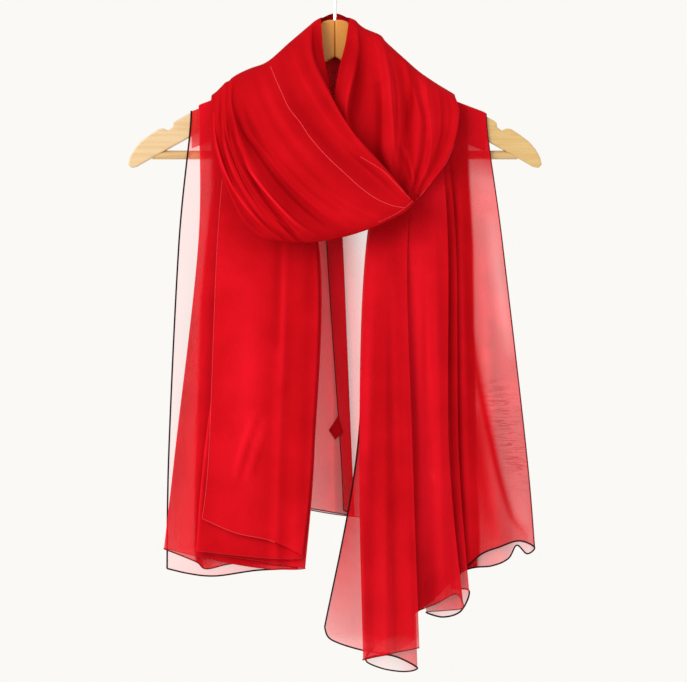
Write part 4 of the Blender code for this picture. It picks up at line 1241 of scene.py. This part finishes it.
def tab_sheet(columns, rows):
    """A small flat cushion between its four corners of (x, drop), a little full in the middle."""
    u, v = np.meshgrid(np.linspace(0, 1, columns), np.linspace(0, 1, rows), indexing="ij")
    top, right, left, low = (np.array(corner)[:, None, None] for corner in TAB_CORNERS)
    x, drop = (1 - u) * (1 - v) * top + u * (1 - v) * right + (1 - u) * v * left + u * v * low
    full = (1 - (2 * u - 1) ** 4) * (1 - (2 * v - 1) ** 4)
    return np.stack((x, drop, TAB_FRONT + TAB_FULL * full), -1), full


tab_grid, tab_full = tab_sheet(columns=26, rows=18)
tab = lay_sheet("sewn_tab", tab_grid, 1.0, TAB_TONE + TAB_LIGHT * tab_full)
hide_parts("hem_tab")


# ---------------------------------------------------------------------------------------------------------
# The studio
# A pale floor well below the scarf, an even white surround and one large soft lamp up on the left.

# The floor's depth below the hook and its radius, in metres, its sides, and its patches as cells to a metre.
FLOOR_DROP = 1.35
FLOOR_RADIUS = 2.8
FLOOR_SIDES = 96
FLOOR_PATCHES = 3.0


def matt_floor_paint():
    """Floor paint: flat warm white, barely uneven in patches a third of a metre across."""
    mat, tree, shader, place = start_finish("matt floor paint")
    patches = add_node(tree, "ShaderNodeTexNoise", {"Vector": place, "Scale": FLOOR_PATCHES})
    colour = add_node(
        tree,
        "ShaderNodeMix",
        {"Factor": patches.outputs["Fac"], 6: linear("#f1f0ec"), 7: linear("#ebeae5")},
        data_type="RGBA",
    )
    tree.links.new(colour.outputs[2], shader.inputs["Base Color"])
    shader.inputs["Roughness"].default_value = 0.85
    return mat


floor_mesh = bpy.data.meshes.new("studio_floor")
around = [2 * math.pi * k / FLOOR_SIDES for k in range(FLOOR_SIDES)]
rim = [(FLOOR_RADIUS * math.cos(a), FLOOR_RADIUS * math.sin(a), -FLOOR_DROP) for a in around]
floor_mesh.from_pydata(rim, [], [list(range(FLOOR_SIDES))])
floor_mesh.materials.append(matt_floor_paint())
floor = bpy.data.objects.new("studio_floor", floor_mesh)
bpy.context.scene.collection.objects.link(floor)

world = bpy.data.worlds.new("studio surround")
world.use_nodes = True
world.node_tree.nodes["Background"].inputs["Color"].default_value = linear("#faf9f5")
world.node_tree.nodes["Background"].inputs["Strength"].default_value = 1.0
bpy.context.scene.world = world


def add_lamp(name, energy, size, place, target):
    """A square soft lamp of so many watts and metres, aimed at a target."""
    lamp = bpy.data.lights.new(name, "AREA")
    lamp.energy = energy
    lamp.size = size
    holder = bpy.data.objects.new(name, lamp)
    holder.location = place
    holder.rotation_euler = (Vector(target) - Vector(place)).to_track_quat("-Z", "Y").to_euler()
    bpy.context.scene.collection.objects.link(holder)


add_lamp("soft key lamp", energy=46.0, size=1.6, place=(-1.5, -1.9, 0.35), target=(0.0, 0.0, -0.38))

# The camera stands square to the hanger. Its frame's middle is given as (x, z) and its width in metres.
VIEW_MIDDLE = (0.0092, -0.4087)
VIEW_WIDTH = 0.742
VIEW_DISTANCE = 4.0
SENSOR = 36.0
camera_data = bpy.data.cameras.new("camera")
camera_data.sensor_width = SENSOR
camera_data.lens = SENSOR * VIEW_DISTANCE / VIEW_WIDTH
camera_data.clip_end = 50.0
camera = bpy.data.objects.new("camera", camera_data)
camera.location = (VIEW_MIDDLE[0], -VIEW_DISTANCE, VIEW_MIDDLE[1])
camera.rotation_euler = (math.pi / 2, 0.0, 0.0)
bpy.context.scene.collection.objects.link(camera)
bpy.context.scene.camera = camera
bpy.context.scene.view_settings.view_transform = "Standard"
# Light has to pass all the plies of a folded tail, front and back.
bpy.context.scene.cycles.transparent_max_bounces = 32
